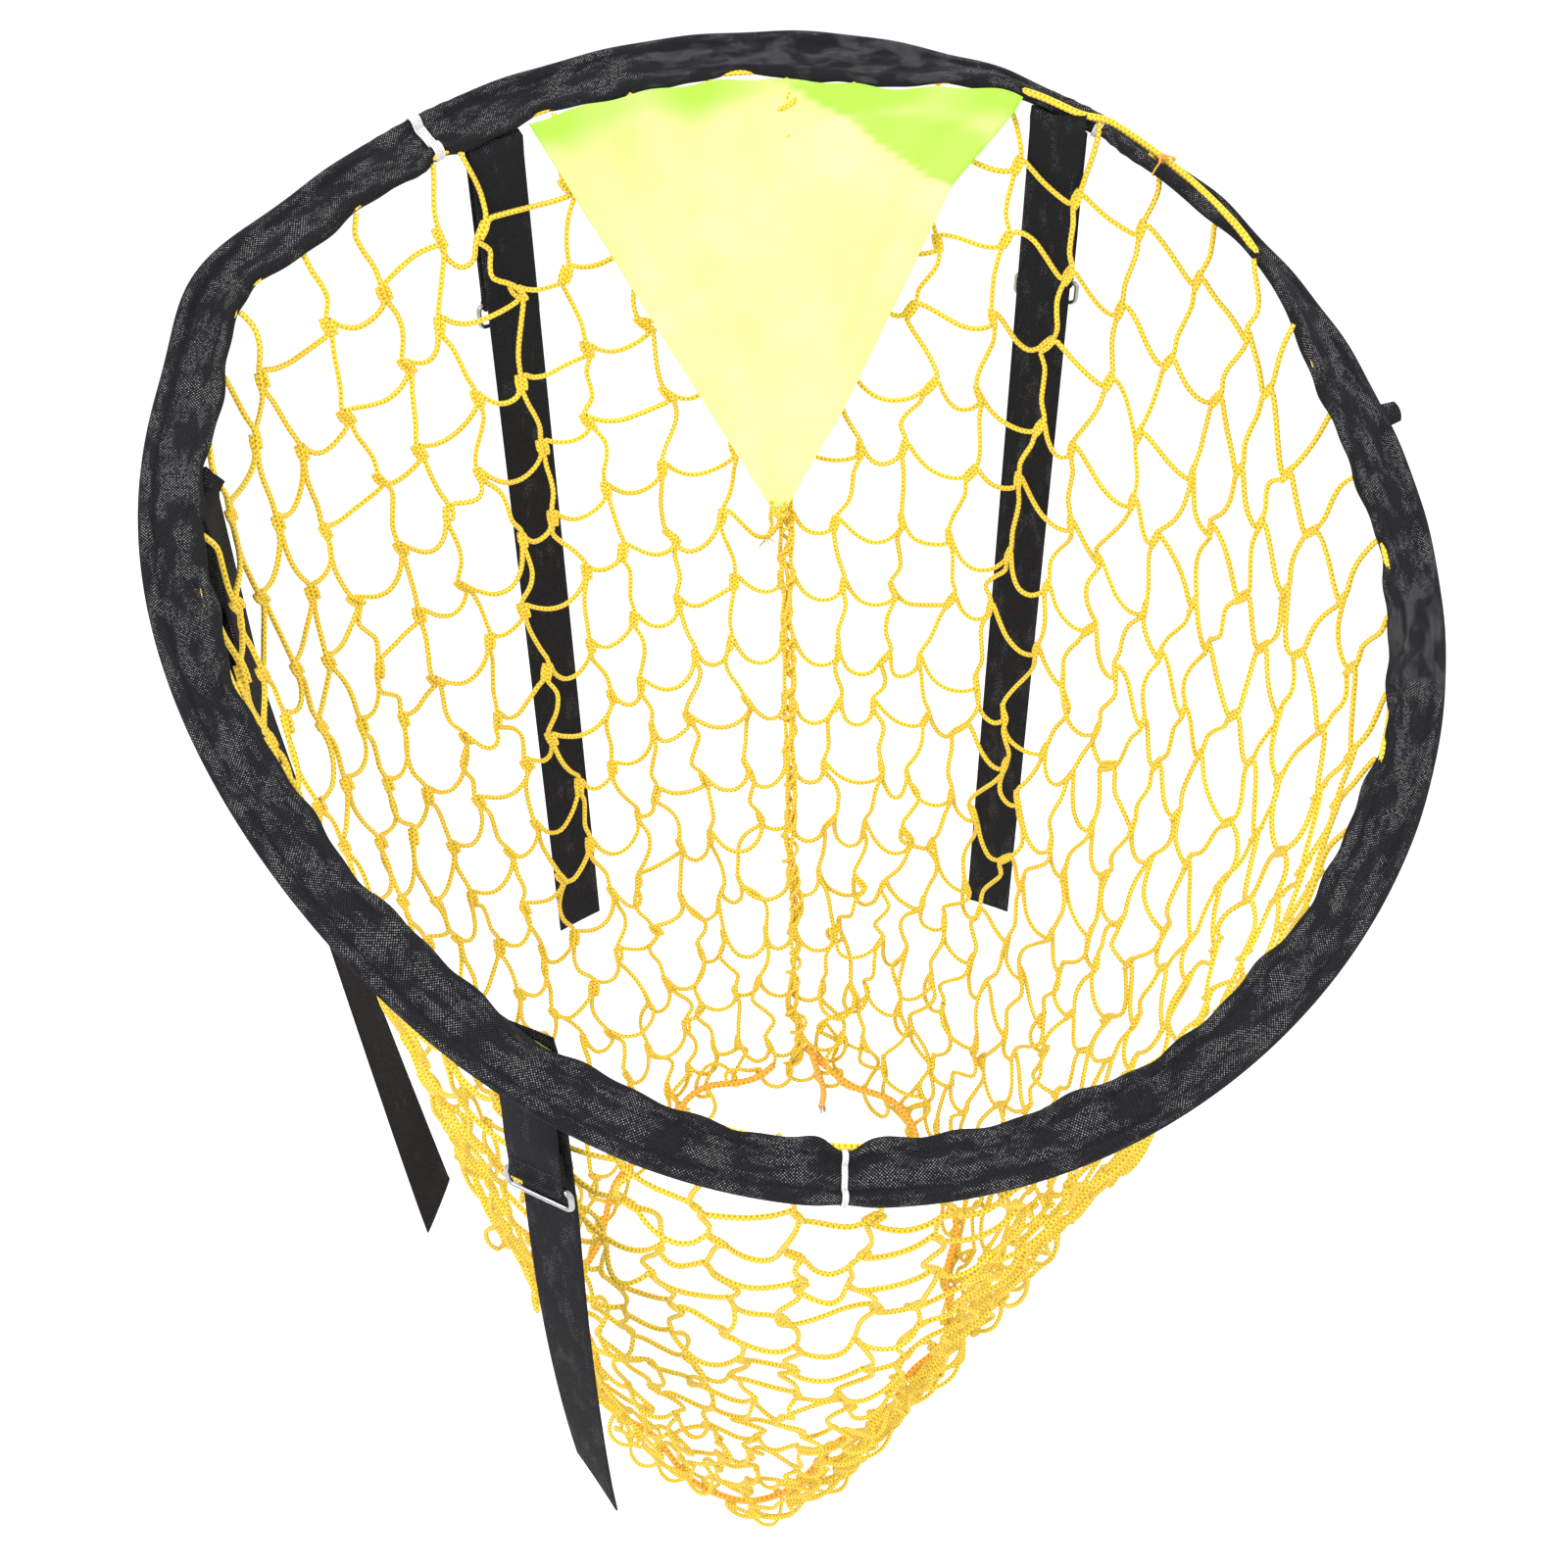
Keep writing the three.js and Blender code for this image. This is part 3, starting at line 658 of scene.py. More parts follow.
def hang(points, fixed, top, low, cords, ends):
    """Lets the cords fall into place under gravity: position-based dynamics on their lengths."""
    stretch, bend = {}, {}
    for line, length, kind in cords:
        for k in range(len(line) - 1):
            stretch.setdefault((kind, k), []).append((line[k], line[k + 1], length))
        for k in range(len(line) - 2):
            bend.setdefault((kind, k), []).append((line[k], line[k + 2], 2 * length))
    stretch["join"] = [(a, b, JOIN) for a, b in zip(top[:, 1:].ravel(), low[:, 1:].ravel())]

    def arrays(groups):
        return [tuple(np.array(column) for column in zip(*group)) for group in groups.values()]

    stretch, bend = arrays(stretch), arrays(bend)
    laced = [(t[0, j], t[-1, j]) for t in (top, low) for j in range(1, ROWS + 1)]
    lace_a, lace_b = (np.array(column) for column in zip(*laced))
    weight = np.where(fixed, 0.0, 1.0)
    speed = np.zeros_like(points)
    now = points.copy()

    def pull(p, a, b, share):
        total = np.maximum(weight[a] + weight[b], 1e-9)
        d = (p[b] - p[a]) * (share / total)[:, None]
        p[a] += d * weight[a][:, None]
        p[b] -= d * weight[b][:, None]

    for _ in range(STEPS):
        speed[:, 2] -= GRAVITY * STEP
        speed *= DAMPING
        p = now + speed * STEP * weight[:, None]
        for k in range(ROUNDS):
            for a, b, length in stretch:
                span = np.linalg.norm(p[b] - p[a], axis=1) + 1e-9
                pull(p, a, b, (span - length) / span)
            for a, b, length in bend:
                span = np.linalg.norm(p[b] - p[a], axis=1) + 1e-9
                stiff = np.where(span < FOLDED * length, FOLD_STIFF, BEND_STIFF) * (span < length)
                pull(p, a, b, stiff * (span - length) / span)
            span = np.linalg.norm(p[lace_b] - p[lace_a], axis=1) + 1e-9
            pull(p, lace_a, lace_b, np.maximum(span - 6.0, 0) / span)
            if k % 5 == 4:
                keep_inside_straps(p, weight)
                keep_to_wall(p, ends, weight)
                keep_behind_pennant(p, weight)
        speed = (p - now) / STEP
        fast = np.linalg.norm(speed, axis=1, keepdims=True)
        speed *= np.minimum(1, TOP_SPEED / np.maximum(fast, 1e-9))
        now = p
    return now


def ruffle(p, fixed, top, low, cords, rng):
    """Gives every knot a small shift along the wall and every side of a mesh its own bow."""
    inward = unit((p.mean(0) - p) * [1, 1, 0])
    along = np.cross(inward, UP)
    deep = smooth(-p[:, 2], 60.0, 620.0)
    seam_ends = set(np.r_[low[0], low[-1], top[0], top[-1]].tolist())
    shift = np.zeros_like(p)
    for i in range(1, COLUMNS):
        for j in range(1, ROWS):
            a, b = top[i, j], low[i, j]
            sideways = (3.4 if (i + j) % 2 else -3.4) + rng.normal(0, 2.6)
            move = along[a] * sideways + UP * rng.normal(0, 2.2) + inward[a] * rng.normal(0, 1.5)
            lean = rng.normal(0, 1.6)
            shift[a], shift[b] = move + along[a] * lean, move - along[a] * lean
    for line, _, kind in cords:
        t = np.linspace(0, 1, len(line))[1:-1, None]
        a, b, inner = line[0], line[-1], line[1:-1]
        size = 2.6 + 3.4 * deep[a]
        across = along[a] if kind == "v" else UP
        bow = across * rng.normal(0, size) * np.sin(math.pi * t)
        bow = bow + across * rng.normal(0, 0.55 * size) * np.sin(2 * math.pi * t)
        bow = bow + inward[a] * rng.normal(0, 0.8 * size) * np.sin(math.pi * t)
        shift[inner] = shift[a] * (1 - t) + shift[b] * t + bow * (0.35 if a in seam_ends else 1.0)
    return p + shift * np.where(fixed, 0.0, 1.0)[:, None]


def build_net():
    rng = np.random.default_rng(11)
    points, fixed, top, low, cords, columns, rows, ends = net_bones(rng)
    p = hang(points, fixed, top, low, cords, ends)
    p = ruffle(p, fixed, top, low, cords, rng)
    keep_inside_straps(p, np.where(fixed, 0.0, 1.0))
    keep_behind_pennant(p, np.where(fixed, 0.0, 1.0))

    uprights = [spline(p[line], 3) for line in columns]
    middle = p.mean(0) * np.array([1, 1, 0])
    crossings = []
    for i, j, line in rows:
        cord = p[line]
        inward = unit(middle - cord[0] * np.array([1, 1, 0]))
        go = unit(cord[1] - cord[0])
        come = unit(cord[-1] - cord[-2])
        a, b = p[top[i, j]], p[low[i, j]]
        c, d = p[top[i + 1, j]], p[low[i + 1, j]]
        first = [b + go * 1.5 + inward * 1.4, (a + b) / 2 + go * 2.1 + inward * 1.2,
                 a + go * 2.0 + inward * 0.5]
        last = [d - come * 2.0 - inward * 0.5, (c + d) / 2 - come * 2.1 - inward * 1.2,
                c - come * 1.5 - inward * 1.4]
        crossings.append(spline(np.vstack([first, cord[1:-1], last]), 3))
    make("net_columns", tubes(uprights, CORD_RADIUS), net_cord)
    make("net_rows", tubes(crossings, CORD_RADIUS), net_cord, ("net_bag",))
    return p, low, columns


def lacing(p, columns):
    """The back seam: a cord wound round the net's two edges."""
    left, right_ = p[columns[0]], p[columns[-1]]
    core = spline((left + right_) / 2, 4)
    length = distance(core)
    want = np.arange(4, length[-1] - 2, 1.6)
    line = np.stack([np.interp(want, length, core[:, k]) for k in range(3)], 1)
    _, side, other = frames(line)
    lines = []
    for phase, reach, pitch in ((0.0, 3.6, 17.0), (2.4, 2.8, 27.0), (4.0, 1.6, 60.0)):
        a = want / pitch * 2 * math.pi + phase + 1.3 * np.sin(want / 31 + phase) + 0.5 * np.sin(want / 11)
        r = reach * (1 + 0.35 * np.sin(want / 7.3 + phase) + 0.25 * np.sin(want / 18.1 + 2 * phase))
        lines.append(line + r[:, None] * (side * np.cos(a)[:, None] + other * np.sin(a)[:, None]))
    make("seam_lacing", tubes(lines, STRAND_RADIUS), seam_mat, ("seam_cord",))
    return line


def drawstring(p, low):
    """The orange rope threaded through the lowest knots."""
    knots = p[low[:, -1]]
    centre = knots.mean(0)
    down = unit(np.array([0.0, -0.35, -1.0]))
    path = []
    for i in range(1, COLUMNS):
        out = unit((knots[i] - centre) * np.array([1, 1, 0.4]))
        side = 4.4 if i % 4 < 2 else -4.4
        path.append(knots[i] + out * side + down * 1.5)
    first, last = path[0], path[-1]
    head = [first + np.array([-9.0, 5.0, 6.0])]
    tail = [last + np.array([9.0, 5.0, 6.0])]
    line = spline(np.array(head + path + tail), 4)
    for _ in range(6):
        line[1:-1] = 0.5 * line[1:-1] + 0.25 * (line[:-2] + line[2:])
    rope = make("drawstring", tubes([line], ROPE_RADIUS, 10), rope_mat, ("outlet_rope",))
    return line


def loose_end(start):
    bends = start + np.array([[0, 0, 0], [2, -6, -3], [5, -10, -12], [8, -11, -24], [9, -10, -36], [8, -9, -47]])
    line = spline(bends, 5)
    end = make("drawstring_end", tubes([line], ROPE_RADIUS, 10), rope_mat)
    rng = np.random.default_rng(5)
    hairs = []
    for _ in range(26):
        a, b = rng.uniform(0, 2 * math.pi), rng.uniform(0.2, 1.7)
        out = np.array([math.cos(a), math.sin(a), 0])
        tip = line[-1] + out * rng.uniform(1, 4) + np.array([0, 0, -rng.uniform(3, 9)])
        root = line[-1] + out * b
        hairs.append(spline(np.array([root, (root + tip) / 2 + out * rng.uniform(0, 1.2), tip]), 3))
    fray = make("drawstring_fray", tubes(hairs, 0.22, 4), rope_mat)


net, net_low, net_columns = build_net()
rope_line = drawstring(net, net_low)
loose_end(rope_line[0] + np.array([4.0, -2.0, 0.0]))
seam_line = lacing(net, net_columns)


# -------- sleeve and ties
def outline(grow=0.0):
    """The sleeve's section as (out, rise), round the nose, along the top, round the hem and back."""
    nose, hem, half = NOSE + grow, HEM + grow, MIDDLE + grow
    a, b = math.pi - math.asin(half / nose), math.asin(half / hem)
    points = [(nose * math.cos(t), nose * math.sin(t)) for t in np.linspace(-a, a, 15)]
    x0, x1 = nose * math.cos(a), -HEM_INSET + hem * math.cos(b)
    points += [(x, half) for x in np.linspace(x0, x1, 8)[1:-1]]
    points += [(-HEM_INSET + hem * math.cos(t), hem * math.sin(t)) for t in np.linspace(b, 2 * math.pi - b, 13)]
    points += [(x, -half) for x in np.linspace(x1, x0, 8)[1:-1]]
    return np.array(points)


TIE_AT = {key: at * DEG * HOOP_RADIUS for key, at in SLEEVE_ENDS.items()}
PINCH = {"bottom": (0.30, 9.0), "topLeft": (0.12, 9.0), "topRight": (0.22, 10.0)}
CLOTH_GAP = {"bottom": 0.25, "topLeft": 2.6, "topRight": 2.3}     # from each tie's middle to the cloth


def sleeve_points(section, degrees):
    """Places a section at each angle, with the cloth's waves, puckers and pinches."""
    d = degrees[:, None]
    s = d * DEG * HOOP_RADIUS
    out, rise = section[None, :, 0] + 0 * d, section[None, :, 1] + 0 * d
    inner = np.clip(-out / HEM_INSET, 0, 1.1)
    side = np.sign(rise) * np.clip(np.abs(rise) / 1.5, 0, 1)
    middle = np.sin(np.pi * np.clip(inner, 0, 1))
    mask = np.clip(np.sin(s / 47 + 1.0) + 0.3 * np.sin(s / 19), 0, 1) ** 2
    ripple = np.sin(s / 17 + 1.1) + 0.7 * np.sin(s / 9.3 + 0.4) + 0.45 * np.sin(s / 4.7) + 0.6 * np.sin(s / 41)
    out = out + inner**1.5 * ripple
    rise = rise * (1 + 0.28 * np.sin(s / 11 + 0.3) * np.sin(s / 37))
    rise = rise + middle * (1.2 * np.sin(s / 29) + 0.8 * np.sin(s / 12 + 2) + 0.5 * np.sin(s / 6.1 + out * 0.2))
    rise = rise + inner * 0.7 * np.sin(s / 21 + 1) + side * middle * 0.40 * np.sin(s / 3.0 + out * 0.35) * mask
    rise = rise + side * 0.28 * np.sin(s / 1.9 + out * 0.5 + 2 * np.sin(s / 23)) * middle * (1 - mask)
    for key, at in TIE_AT.items():
        for whole in (0, 360):
            off = s - at - whole * DEG * HOOP_RADIUS
            depth, spread = PINCH[key]
            near = np.exp(-((off / spread) ** 2))
            wide = np.exp(-((off / (2.4 * spread)) ** 2))
            out = out * (1 - depth * near)
            pucker = side * 0.5 * wide * (1 - near) * np.sin(off / 1.5 + out * 0.2)
            rise = rise * (1 + 0.5 * depth * near) + pucker
    return hoop_point(d + 0 * out, out, rise)


def skin(name, degrees):
    """One piece of the sleeve's cloth, over a stretch of the hoop."""
    section = outline()
    n, m = len(degrees), len(section)
    points = sleeve_points(section, degrees)
    loop = distance(np.vstack([section, section[:1]]))
    faces, uv = loft(n, m, ((1, 0), (1, 1), (0, 1), (0, 0)), (loop[:-1], loop[1:]), degrees * DEG * HOOP_RADIUS,
                     lambda j, end: tuple(section[j]))
    make(name + "_cloth", (points.reshape(-1, 3), faces, uv), sleeving, (name,))


def per_mm(length):
    return length / (HOOP_RADIUS * DEG)


def build_sleeves():
    half = {key: per_mm(gap) for key, gap in CLOTH_GAP.items()}
    e = SLEEVE_ENDS
    spans = (
        ("sleeve_top", e["topRight"] + half["topRight"], e["topLeft"] - half["topLeft"]),
        ("sleeve_left", e["topLeft"] + half["topLeft"], e["bottom"] - half["bottom"]),
        ("sleeve_right", e["bottom"] + half["bottom"], e["topRight"] + 360 - half["topRight"]),
    )
    for name, a, b in spans:
        skin(name, np.linspace(a, b, int((b - a) / 0.42)))
    for key, name in (("topLeft", "tie_top_left"), ("topRight", "tie_top_right"), ("bottom", "tie_bottom")):
        reach = per_mm(TIE_WIDTH[key] / 2 + 0.25)
        turns = max(1, round(TIE_WIDTH[key] / 1.3))
        parts = []
        for k in range(turns):
            at = SLEEVE_ENDS[key] + reach * (2 * (k + 0.5) / turns - 1)
            line = spline(sleeve_points(outline(0.55), np.array([at]))[0], 2, closed=True)
            parts.append(tubes([line], 0.75 if turns > 1 else 0.32, closed=True))
        make(name + "_thread", join_parts(parts), thread, (name,))


build_sleeves()


def build_nub():
    """A stub of the strip's end that stands out of the sleeve's outer seam."""
    rows, cols = 9, 7
    points = []
    for side in (1, -1):
        for i in range(rows):
            f = i / (rows - 1)
            for j in range(cols):
                g = j / (cols - 1) * 2 - 1
                out = 2.5 + 9.0 * f - 1.4 * g * g * f
                bulge = math.sqrt(max(0.0, 1 - 0.93 * g * g))
                rise = 1.3 * side * (1 - 0.55 * f) * bulge + 1.8 * f + 0.8 * g * f
                at = NUB_ANGLE + per_mm(6.5 * g * (1 - 0.2 * f))
                points.append(hoop_point(np.array(at), np.array(out), np.array(rise)))
    size = rows * cols
    faces, uv = [], []
    for k in range(2):
        for i in range(rows - 1):
            for j in range(cols - 1):
                quad = [(i, j), (i + 1, j), (i + 1, j + 1), (i, j + 1)][:: 1 if k else -1]
                faces.append([k * size + a * cols + b for a, b in quad])
                uv += [(2.0 * b, 1.2 * a) for a, b in quad]
    for (i, j), (a, b) in border_of(rows - 1, cols - 1):
        faces.append([i * cols + j, a * cols + b, size + a * cols + b, size + i * cols + j])
        uv += [(2.0 * j, 1.2 * i), (2.0 * b, 1.2 * a), (2.0 * b + 1, 1.2 * a), (2.0 * j + 1, 1.2 * i)]
    make("sleeve_right_nub", (points, faces, uv), sleeving)


build_nub()


def build_thread_knot():
    """An orange thread tied round the sleeve near the top right, with a knot and two ends."""
    ring = sleeve_points(outline(), np.array([THREAD_KNOT_ANGLE]))[0]
    middle = ring.mean(0)
    ring = middle + (ring - middle) * 1.06
    crown = ring[np.argmax(ring[:, 2])]
    coil = [crown + 1.7 * np.array([math.cos(t), math.sin(t), 0.14 * t]) for t in np.linspace(0, 11, 26)]
    tails = ((3, -2, 2.4), (6, -2.5, 0.6)), ((-2, -3, 2.2), (-3, -6, 0.5))
    ends = [spline(crown + np.array([[0, 0, 1], a, b]), 4) for a, b in tails]
    parts = [tubes([spline(ring, 2, closed=True)], 0.5, closed=True), tubes([np.array(coil), *ends], 0.55)]
    make("orange_thread_knot", join_parts(parts), rope_mat)


build_thread_knot()


def build_head_cord():
    d = np.arange(0, 360, 0.75)
    out, rise = head_path(d)
    line = hoop_point(d, out, rise)
    for _ in range(3):
        line = 0.5 * line + 0.25 * (np.roll(line, 1, 0) + np.roll(line, -1, 0))
    make("head_cord_braid", tubes([line], 1.9, 8, closed=True), net_cord, ("head_cord",))


build_head_cord()


# -------- straps and buckles
def ribbon(line, lateral, half_width, thickness, shear, cup):
    """A flat webbing ribbon along a line; lateral is the width direction at each point."""
    tangent = unit(np.gradient(line, axis=0))
    lateral = unit(lateral - tangent * np.sum(lateral * tangent, 1, keepdims=True))
    normal = np.cross(tangent, lateral)
    x = np.array([-1, -0.985, -0.94, -0.7, -0.4, -0.1, 0.2, 0.5, 0.8, 0.94, 0.985, 1]) * half_width
    t = np.array([0.25, 0.7, 1, 1, 1, 1, 1, 1, 1, 1, 0.7, 0.25]) * thickness / 2
    xs, ts = np.r_[x, x[::-1]], np.r_[t, -t[::-1]]
    n, m = len(line), len(xs)
    points = line[:, None] + lateral[:, None] * xs[None, :, None] + normal[:, None] * ts[None, :, None]
    points += normal[:, None] * (cup[:, None] * (1 - (xs[None] / half_width) ** 2))[..., None]
    points += tangent[:, None] * (shear[:, None] * (xs[None] / (2 * half_width)))[..., None]
    along = distance(line)
    faces, uv = loft(n, m, ((0, 0), (1, 0), (1, 1), (0, 1)), (xs, np.roll(xs, -1)), along,
                     lambda j, end: (xs[j], along[end] + ts[j]))
    return points.reshape(-1, 3), faces, uv


TWISTS = {"top_left": 6.0, "top_right": -7.0, "left": 36.0, "lower_left": 20.0}


def leg_line(name, at, leg, sway, curl):
    """From under the sleeve's outer edge, across it, up its hem side and down the long leg."""
    place = PLACES[name]
    nose, hem = (core + CLOTH + SADDLE_SLACK + WEB / 2 for core in (NOSE_CORE, HEM_CORE))
    under = [(nose * math.cos(t), nose * math.sin(t)) for t in np.linspace(-62, -90, 3) * DEG]
    under += [(x, -(nose + (hem - nose) * -x / HEM_INSET)) for x in (-5.0, -10.0, -15.0)]
    under += [(-HEM_INSET + hem * math.cos(t), hem * math.sin(t)) for t in np.linspace(-90, -150, 4) * DEG]
    under = np.array(under)
    saddle = hoop_point(at + 0 * under[:, 0], under[:, 0], under[:, 1])
    inside = place["hem"] - place["out"] * (HEM_REACH - WEB / 2)
    low = min(saddle[-1][2] - 5, inside[2] - 9)
    first = np.arange(inside[2] - low, FIXED_DROP, 5.0)
    drop = inside[None] - UP * first[:, None]
    s = np.arange(0, 1.0001, 5.0 / leg)
    below = inside[None] - UP * (FIXED_DROP + WEB / 2 + 0.3 + leg * s)[:, None]
    below = below + place["out"] * (sway * s - curl * s * s)[:, None]
    line = np.vstack([saddle, drop, below])
    run = place["run"] if place["run"] @ place["across"] > 0 else -place["run"]
    mix = np.r_[np.zeros(len(saddle)), np.clip(first / 25.0, 0, 1), np.ones(len(below))][:, None]
    lateral = run * (1 - mix) + place["across"] * mix
    angle = np.r_[np.zeros(len(saddle) + len(drop)), TWISTS[name] * DEG * s**1.6]
    lateral = lateral * np.cos(angle)[:, None] + place["out"] * np.sin(angle)[:, None]
    return line, lateral


def build_strap(name, at, leg, sway, curl, slant):
    place = PLACES[name]
    line, lateral = leg_line(name, at, leg, sway, curl)
    s = np.linspace(0, 1, len(line))
    cup = 0.5 * np.sin(s * 23 + at) * smooth(s, 0.12, 0.3)
    ends = np.clip((np.arange(len(line)) - (len(line) - 4)) / 3, 0, 1)
    shape = ribbon(line, lateral, WEB_WIDTH / 2, WEB - 0.1, ends * slant, cup)
    piece = make(f"strap_{name}_webbing", shape, webbing,
                 (f"strap_{name}_saddle", f"strap_{name}_leg"), body=None)
    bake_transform(piece)
    build_tab(name, place)
    build_buckle(name, place)


def build_tab(name, place):
    """The short end: down to the buckle, round its bar, and sewn back on itself."""
    head = place["tab"]
    eye = BUCKLE["wire"] + 0.35 + WEB / 2
    reach = abs(place["rise"]) * TAB_WIDTH / 2 + 1.5
    down = np.r_[-reach, -reach / 2, np.arange(0, TAB_LENGTH - 6, 4.0)]
    bulge = 0.5 * WEB + 0.1
    line = [(bulge * smooth(z, 40, 60), -z) for z in down]
    line += [(eye * math.sin(t), -TAB_LENGTH + eye * math.cos(t)) for t in np.linspace(35, 325, 12) * DEG]
    line += [(-bulge, -z) for z in np.arange(TAB_LENGTH - 6, TAB_LENGTH - 27, -4.0)]
    line = np.array(line)
    world = head + place["out"] * line[:, :1] + UP * line[:, 1:]
    lateral = np.repeat(place["across"][None], len(world), 0)
    fold = 3.2 if name == "lower_left" else 0.4
    in_front = np.arange(len(line)) < len(down)
    cup = fold * np.sin(np.pi * np.clip(-line[:, 1] / (TAB_LENGTH - 14), 0, 1)) * in_front
    shear = -place["rise"] * TAB_WIDTH * np.clip(1 - np.arange(len(line)) / 3.0, 0, 1)
    shape = ribbon(world, lateral, TAB_WIDTH / 2, WEB - 0.15, shear, cup)
    tab = make(f"strap_{name}_tab_webbing", shape, webbing, (f"strap_{name}_tab",), body=None)
    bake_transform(tab)
    stitches = []
    for z in (-TAB_LENGTH + 11.0, -TAB_LENGTH + 23.0):
        for x in np.arange(-12.5, 12.6, 2.5):
            a = head + place["across"] * x + UP * z + place["out"] * (bulge + 0.85)
            b = a + place["across"] * 1.7
            mid = (a + b) / 2 + place["out"] * 0.35
            stitches.append(spline(np.array([a - place["out"] * 0.4, mid, b - place["out"] * 0.4]), 3))
    make(f"strap_{name}_stitches", tubes(stitches, 0.32, 5), black_thread, body=f"{name}_tab")


def build_buckle(name, place):
    """A ring of round wire bent to a rectangle, butted and welded in its lower bar."""
    w, h, c = BUCKLE["width"] / 2, BUCKLE["height"], BUCKLE["corner"]
    corners = [(w - c, -c, 90, 0), (w - c, -h + c, 0, -90), (-w + c, -h + c, -90, -180), (-w + c, -c, 180, 90)]
    flat_points = []
    for cx, cz, a, b in corners:
        flat_points += [(cx + c * math.cos(t), cz + c * math.sin(t)) for t in np.linspace(a, b, 8) * DEG]
    ring = []
    for k, q in enumerate(flat_points):
        nxt = flat_points[(k + 1) % len(flat_points)]
        far = math.dist(q, nxt)
        count = max(1, int(far / 2.5))
        ring += [tuple(np.array(q) + (np.array(nxt) - np.array(q)) * t / count) for t in range(count)]
    ring = np.array(ring)
    head = place["tab"] - UP * TAB_LENGTH
    line = head + place["across"] * ring[:, :1] + UP * ring[:, 1:]
    weld = np.exp(-(((ring[:, 0] - 4) / 1.1) ** 2)) * (ring[:, 1] < -h + 0.5)
    radius = BUCKLE["wire"] * (1 + 0.10 * weld)
    make(f"strap_{name}_ring", tubes([line], [radius], 14, closed=True), bright_wire,
         (f"strap_{name}_buckle",), body=f"{name}_buckle")


for strap in STRAPS:
    build_strap(*strap)


# -------- pennant
def build_pennant():
    """The cloth from its stretch of the hoop to its tip, waved, with a corner folded double."""
    wide, high = 96, 64
    u, v = np.meshgrid(np.linspace(0, 1, wide + 1), np.linspace(0, 1, high + 1), indexing="ij")
    angle = PENNANT["from"] + (PENNANT["to"] - PENNANT["from"]) * u
    edge = hoop_point(angle, -PENNANT["inset"] + 0 * u, -0.6 + 0 * u)
    tip = PENNANT_TIP + np.stack([(u - 0.5) * 6, 0 * u, 0 * u], -1)
    point = edge + (tip - edge) * v[..., None]
    inward = unit(np.stack([-0.05 + 0 * u, -1 + 0 * u, -0.35 + 0 * u], -1))
    notch = 11 * np.interp(v, [0.03, 0.185, 0.72], [0, 1, 0]) * u**4
    point[..., 0] -= notch
    fan = np.sin(u * 17 + 0.7) * 0.6 + np.sin(u * 31 + 2.0) * 0.4 + np.sin(u * 9 - 1.0) * 0.7
    wave = 3.0 * fan * np.sin(np.pi * np.clip(v, 0, 1)) ** 0.8 + 5.0 * np.sin(np.pi * v) * np.sin(np.pi * u)
    wave += 1.1 * np.sin(u * 44 + v * 5) * np.exp(-v * 9) + 0.5 * np.sin(v * 37 + u * 11) * v * (1 - v) * 3
    low_line = np.interp(u, [0.50, 0.93, 1.0], [0.0, 0.20, 0.20])
    high_line = np.interp(u, [0.50, 0.97, 1.0], [0.0, 0.085, 0.10])
    flap = smooth(low_line - v, -0.004, 0.012) * (u > 0.5)
    wave += 1.6 * flap
    point = point + inward * wave[..., None]
    wedge = flap * smooth(v - high_line, -0.01, 0.01)
    strip = (1 - smooth(v, 0.02, 0.075 + 0.03 * np.sin(u * 23))) * (0.6 + 0.3 * np.sin(u * 19 + 1))
    left_glow = 0.35 * np.exp(-(((u - 0.18) / 0.12) ** 2)) * (1 - smooth(v, 0.05, 0.22))
    # painted shade: the light and shade of the fan folds is painted into the green tint as faint streaks
    folds = 0.055 * (fan + 0.8 * np.sin(u * 44 + v * 5)) * (1 - 0.6 * v) + 0.05
    tint = np.clip(0.85 * wedge + 0.42 * flap * (1 - wedge) + strip + left_glow + folds, 0, 1)
    points = np.vstack([point.reshape(-1, 3), (point - inward * PENNANT["thick"]).reshape(-1, 3)])

    def index(i, j, side):
        return (side * (wide + 1) + i) * (high + 1) + j

    faces, uv = [], []
    size = (250.0, 240.0)
    for i in range(wide):
        for j in range(high):
            quad = ((i, j), (i + 1, j), (i + 1, j + 1), (i, j + 1))
            for side, order in ((0, -1), (1, 1)):
                faces.append([index(a, b, side) for a, b in quad][::order])
                uv += [(a / wide * size[0] * (1 - b / high), b / high * size[1]) for a, b in quad][::order]
    for (i, j), (a, b) in border_of(wide, high):
        faces.append([index(i, j, 0), index(a, b, 0), index(a, b, 1), index(i, j, 1)])
        uv += [(i, j), (a, b), (a, b), (i, j)]
    piece = make("pennant_cloth", (points, faces, uv), pennant_mat, ("pennant",))
    values = np.r_[tint.ravel(), tint.ravel()].astype(np.float32)
    piece.data.attributes.new("green_tint_and_fold_shade", "FLOAT", "POINT").data.foreach_set("value", values)
    a = np.cross(point[1:, :-1] - point[:-1, :-1], point[:-1, 1:] - point[:-1, :-1])


build_pennant()


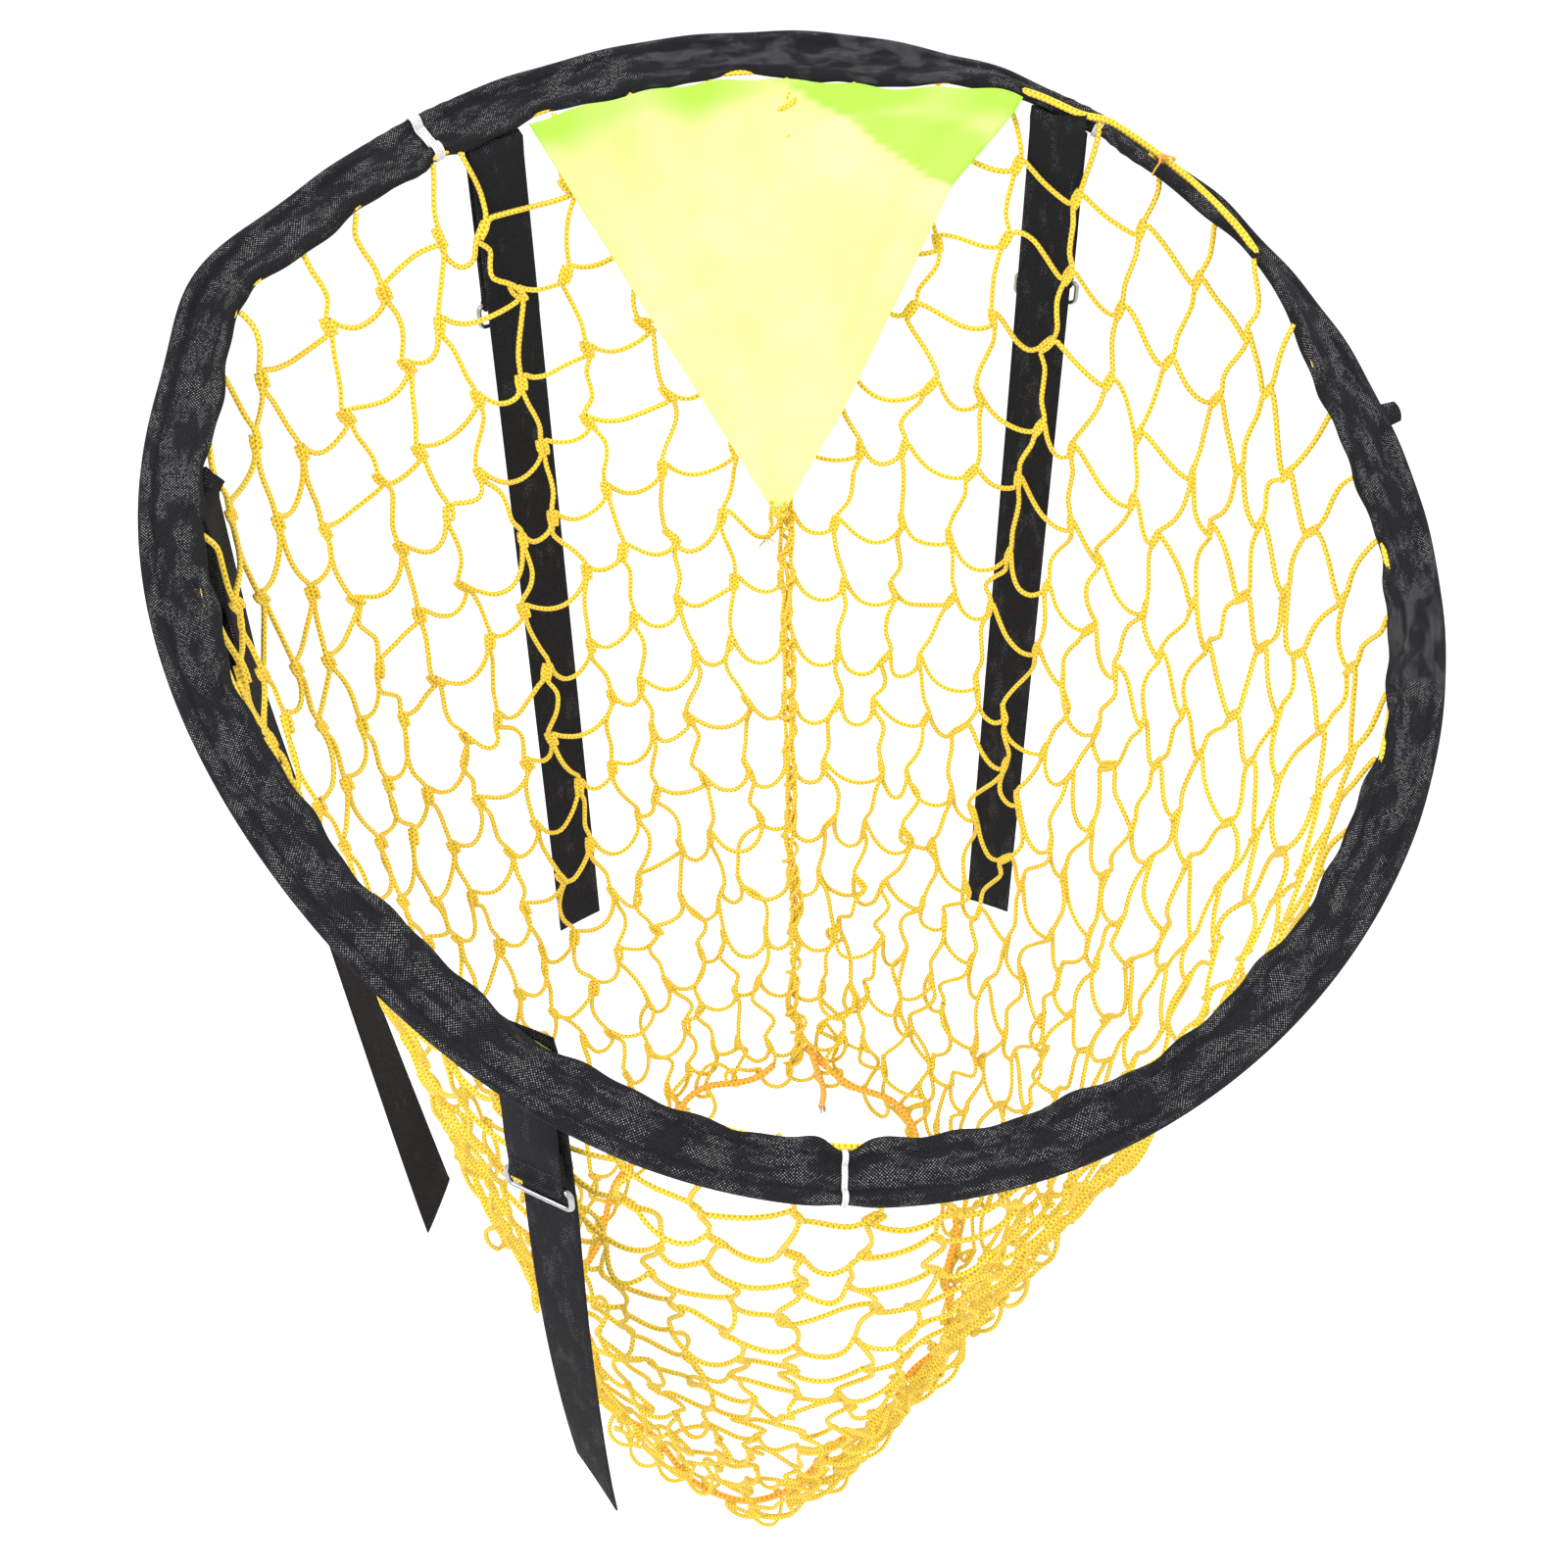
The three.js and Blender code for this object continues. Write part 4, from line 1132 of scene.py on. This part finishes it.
def build_pennant_tie():
    """A frayed end of net cord knotted round the pennant's point and on to the seam."""
    start = PENNANT_TIP + np.array([0, 0, 1.0])
    end = seam_line[int(np.argmin(np.linalg.norm(seam_line - start, axis=1)))]
    mid = (start + end) / 2
    lines = [
        spline(np.array([start + [-5, -2, 2], start + [0, -4.5, 0], start + [5, -1, -2],
                         mid + [2, 0, -3], end + [0, -3, 0], end + [-3, 2, -4]]), 5),
        spline(np.array([start + [4, 0, 4], start + [-1, -4.5, 1], start + [-5, 0, -3], start + [-4, 2, -11],
                         start + [-7, 1, -19]]), 5),
    ]
    t = np.linspace(0, 2 * math.pi * 2.5, 40)
    lines.append(np.array([start + [4.2 * math.cos(a), 4.2 * math.sin(a), -3 + 0.55 * a] for a in t]))
    rng = np.random.default_rng(8)
    for _ in range(14):
        tip = lines[1][-1] + rng.normal(0, 1, 3) * [3, 3, 1] + [0, 0, -rng.uniform(2, 7)]
        lines.append(spline(np.array([lines[1][-1], (lines[1][-1] + tip) / 2 + rng.normal(0, 0.6, 3), tip]), 3))
    radii = [np.full(len(line), 1.3 if i < 3 else 0.2) for i, line in enumerate(lines)]
    make("pennant_tie_cord", tubes(lines, radii), net_cord, ("pennant_tie",))


build_pennant_tie()

# -------- metal inside the sleeve
for node, material in (("hoop_wire", spring), ("hoop_ferrule", tube_steel)):
    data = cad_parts[node].data
    data.materials.clear()
    data.materials.append(material)

# -------- floor and light
def build_stage():
    n = Nodes("floor")
    n.put(Base_Color=n.mix(n.noise(3.0, 2.0, n.coords()), (0.93, 0.93, 0.93), (0.95, 0.95, 0.95)), Roughness=0.9)
    n.put(Emission_Color=(1.0, 1.0, 1.0), Emission_Strength=0.14)
    size, z = 30.0, -1.75
    mesh = bpy.data.meshes.new("floor")
    square = [(-size, -size, z), (size, -size, z), (size, size, z), (-size, size, z)]
    mesh.from_pydata(square, [], [(0, 1, 2, 3)])
    mesh.materials.append(n.material)
    floor = bpy.data.objects.new("floor", mesh)
    bpy.context.scene.collection.objects.link(floor)
    world = bpy.data.worlds.new("studio")
    bpy.context.scene.world = world
    world.use_nodes = True
    background = world.node_tree.nodes["Background"]
    background.inputs[0].default_value = (1, 1, 1, 1)
    background.inputs[1].default_value = 0.98
    lamps = (
        ("key", (-1.3, -1.7, 1.9), 1.6, 55),
        ("fill", (1.9, -0.9, 1.2), 2.0, 26),
        ("back", (0.2, 2.0, 1.4), 1.8, 24),
    )
    for name, place, size, power in lamps:
        light = bpy.data.lights.new(name, "AREA")
        light.size, light.energy = size, power
        lamp = bpy.data.objects.new(name, light)
        bpy.context.scene.collection.objects.link(lamp)
        lamp.location = place
        lamp.rotation_mode = "QUATERNION"
        lamp.rotation_quaternion = (Vector((0, 0, -0.25)) - Vector(place)).to_track_quat("-Z", "Y")


build_stage()
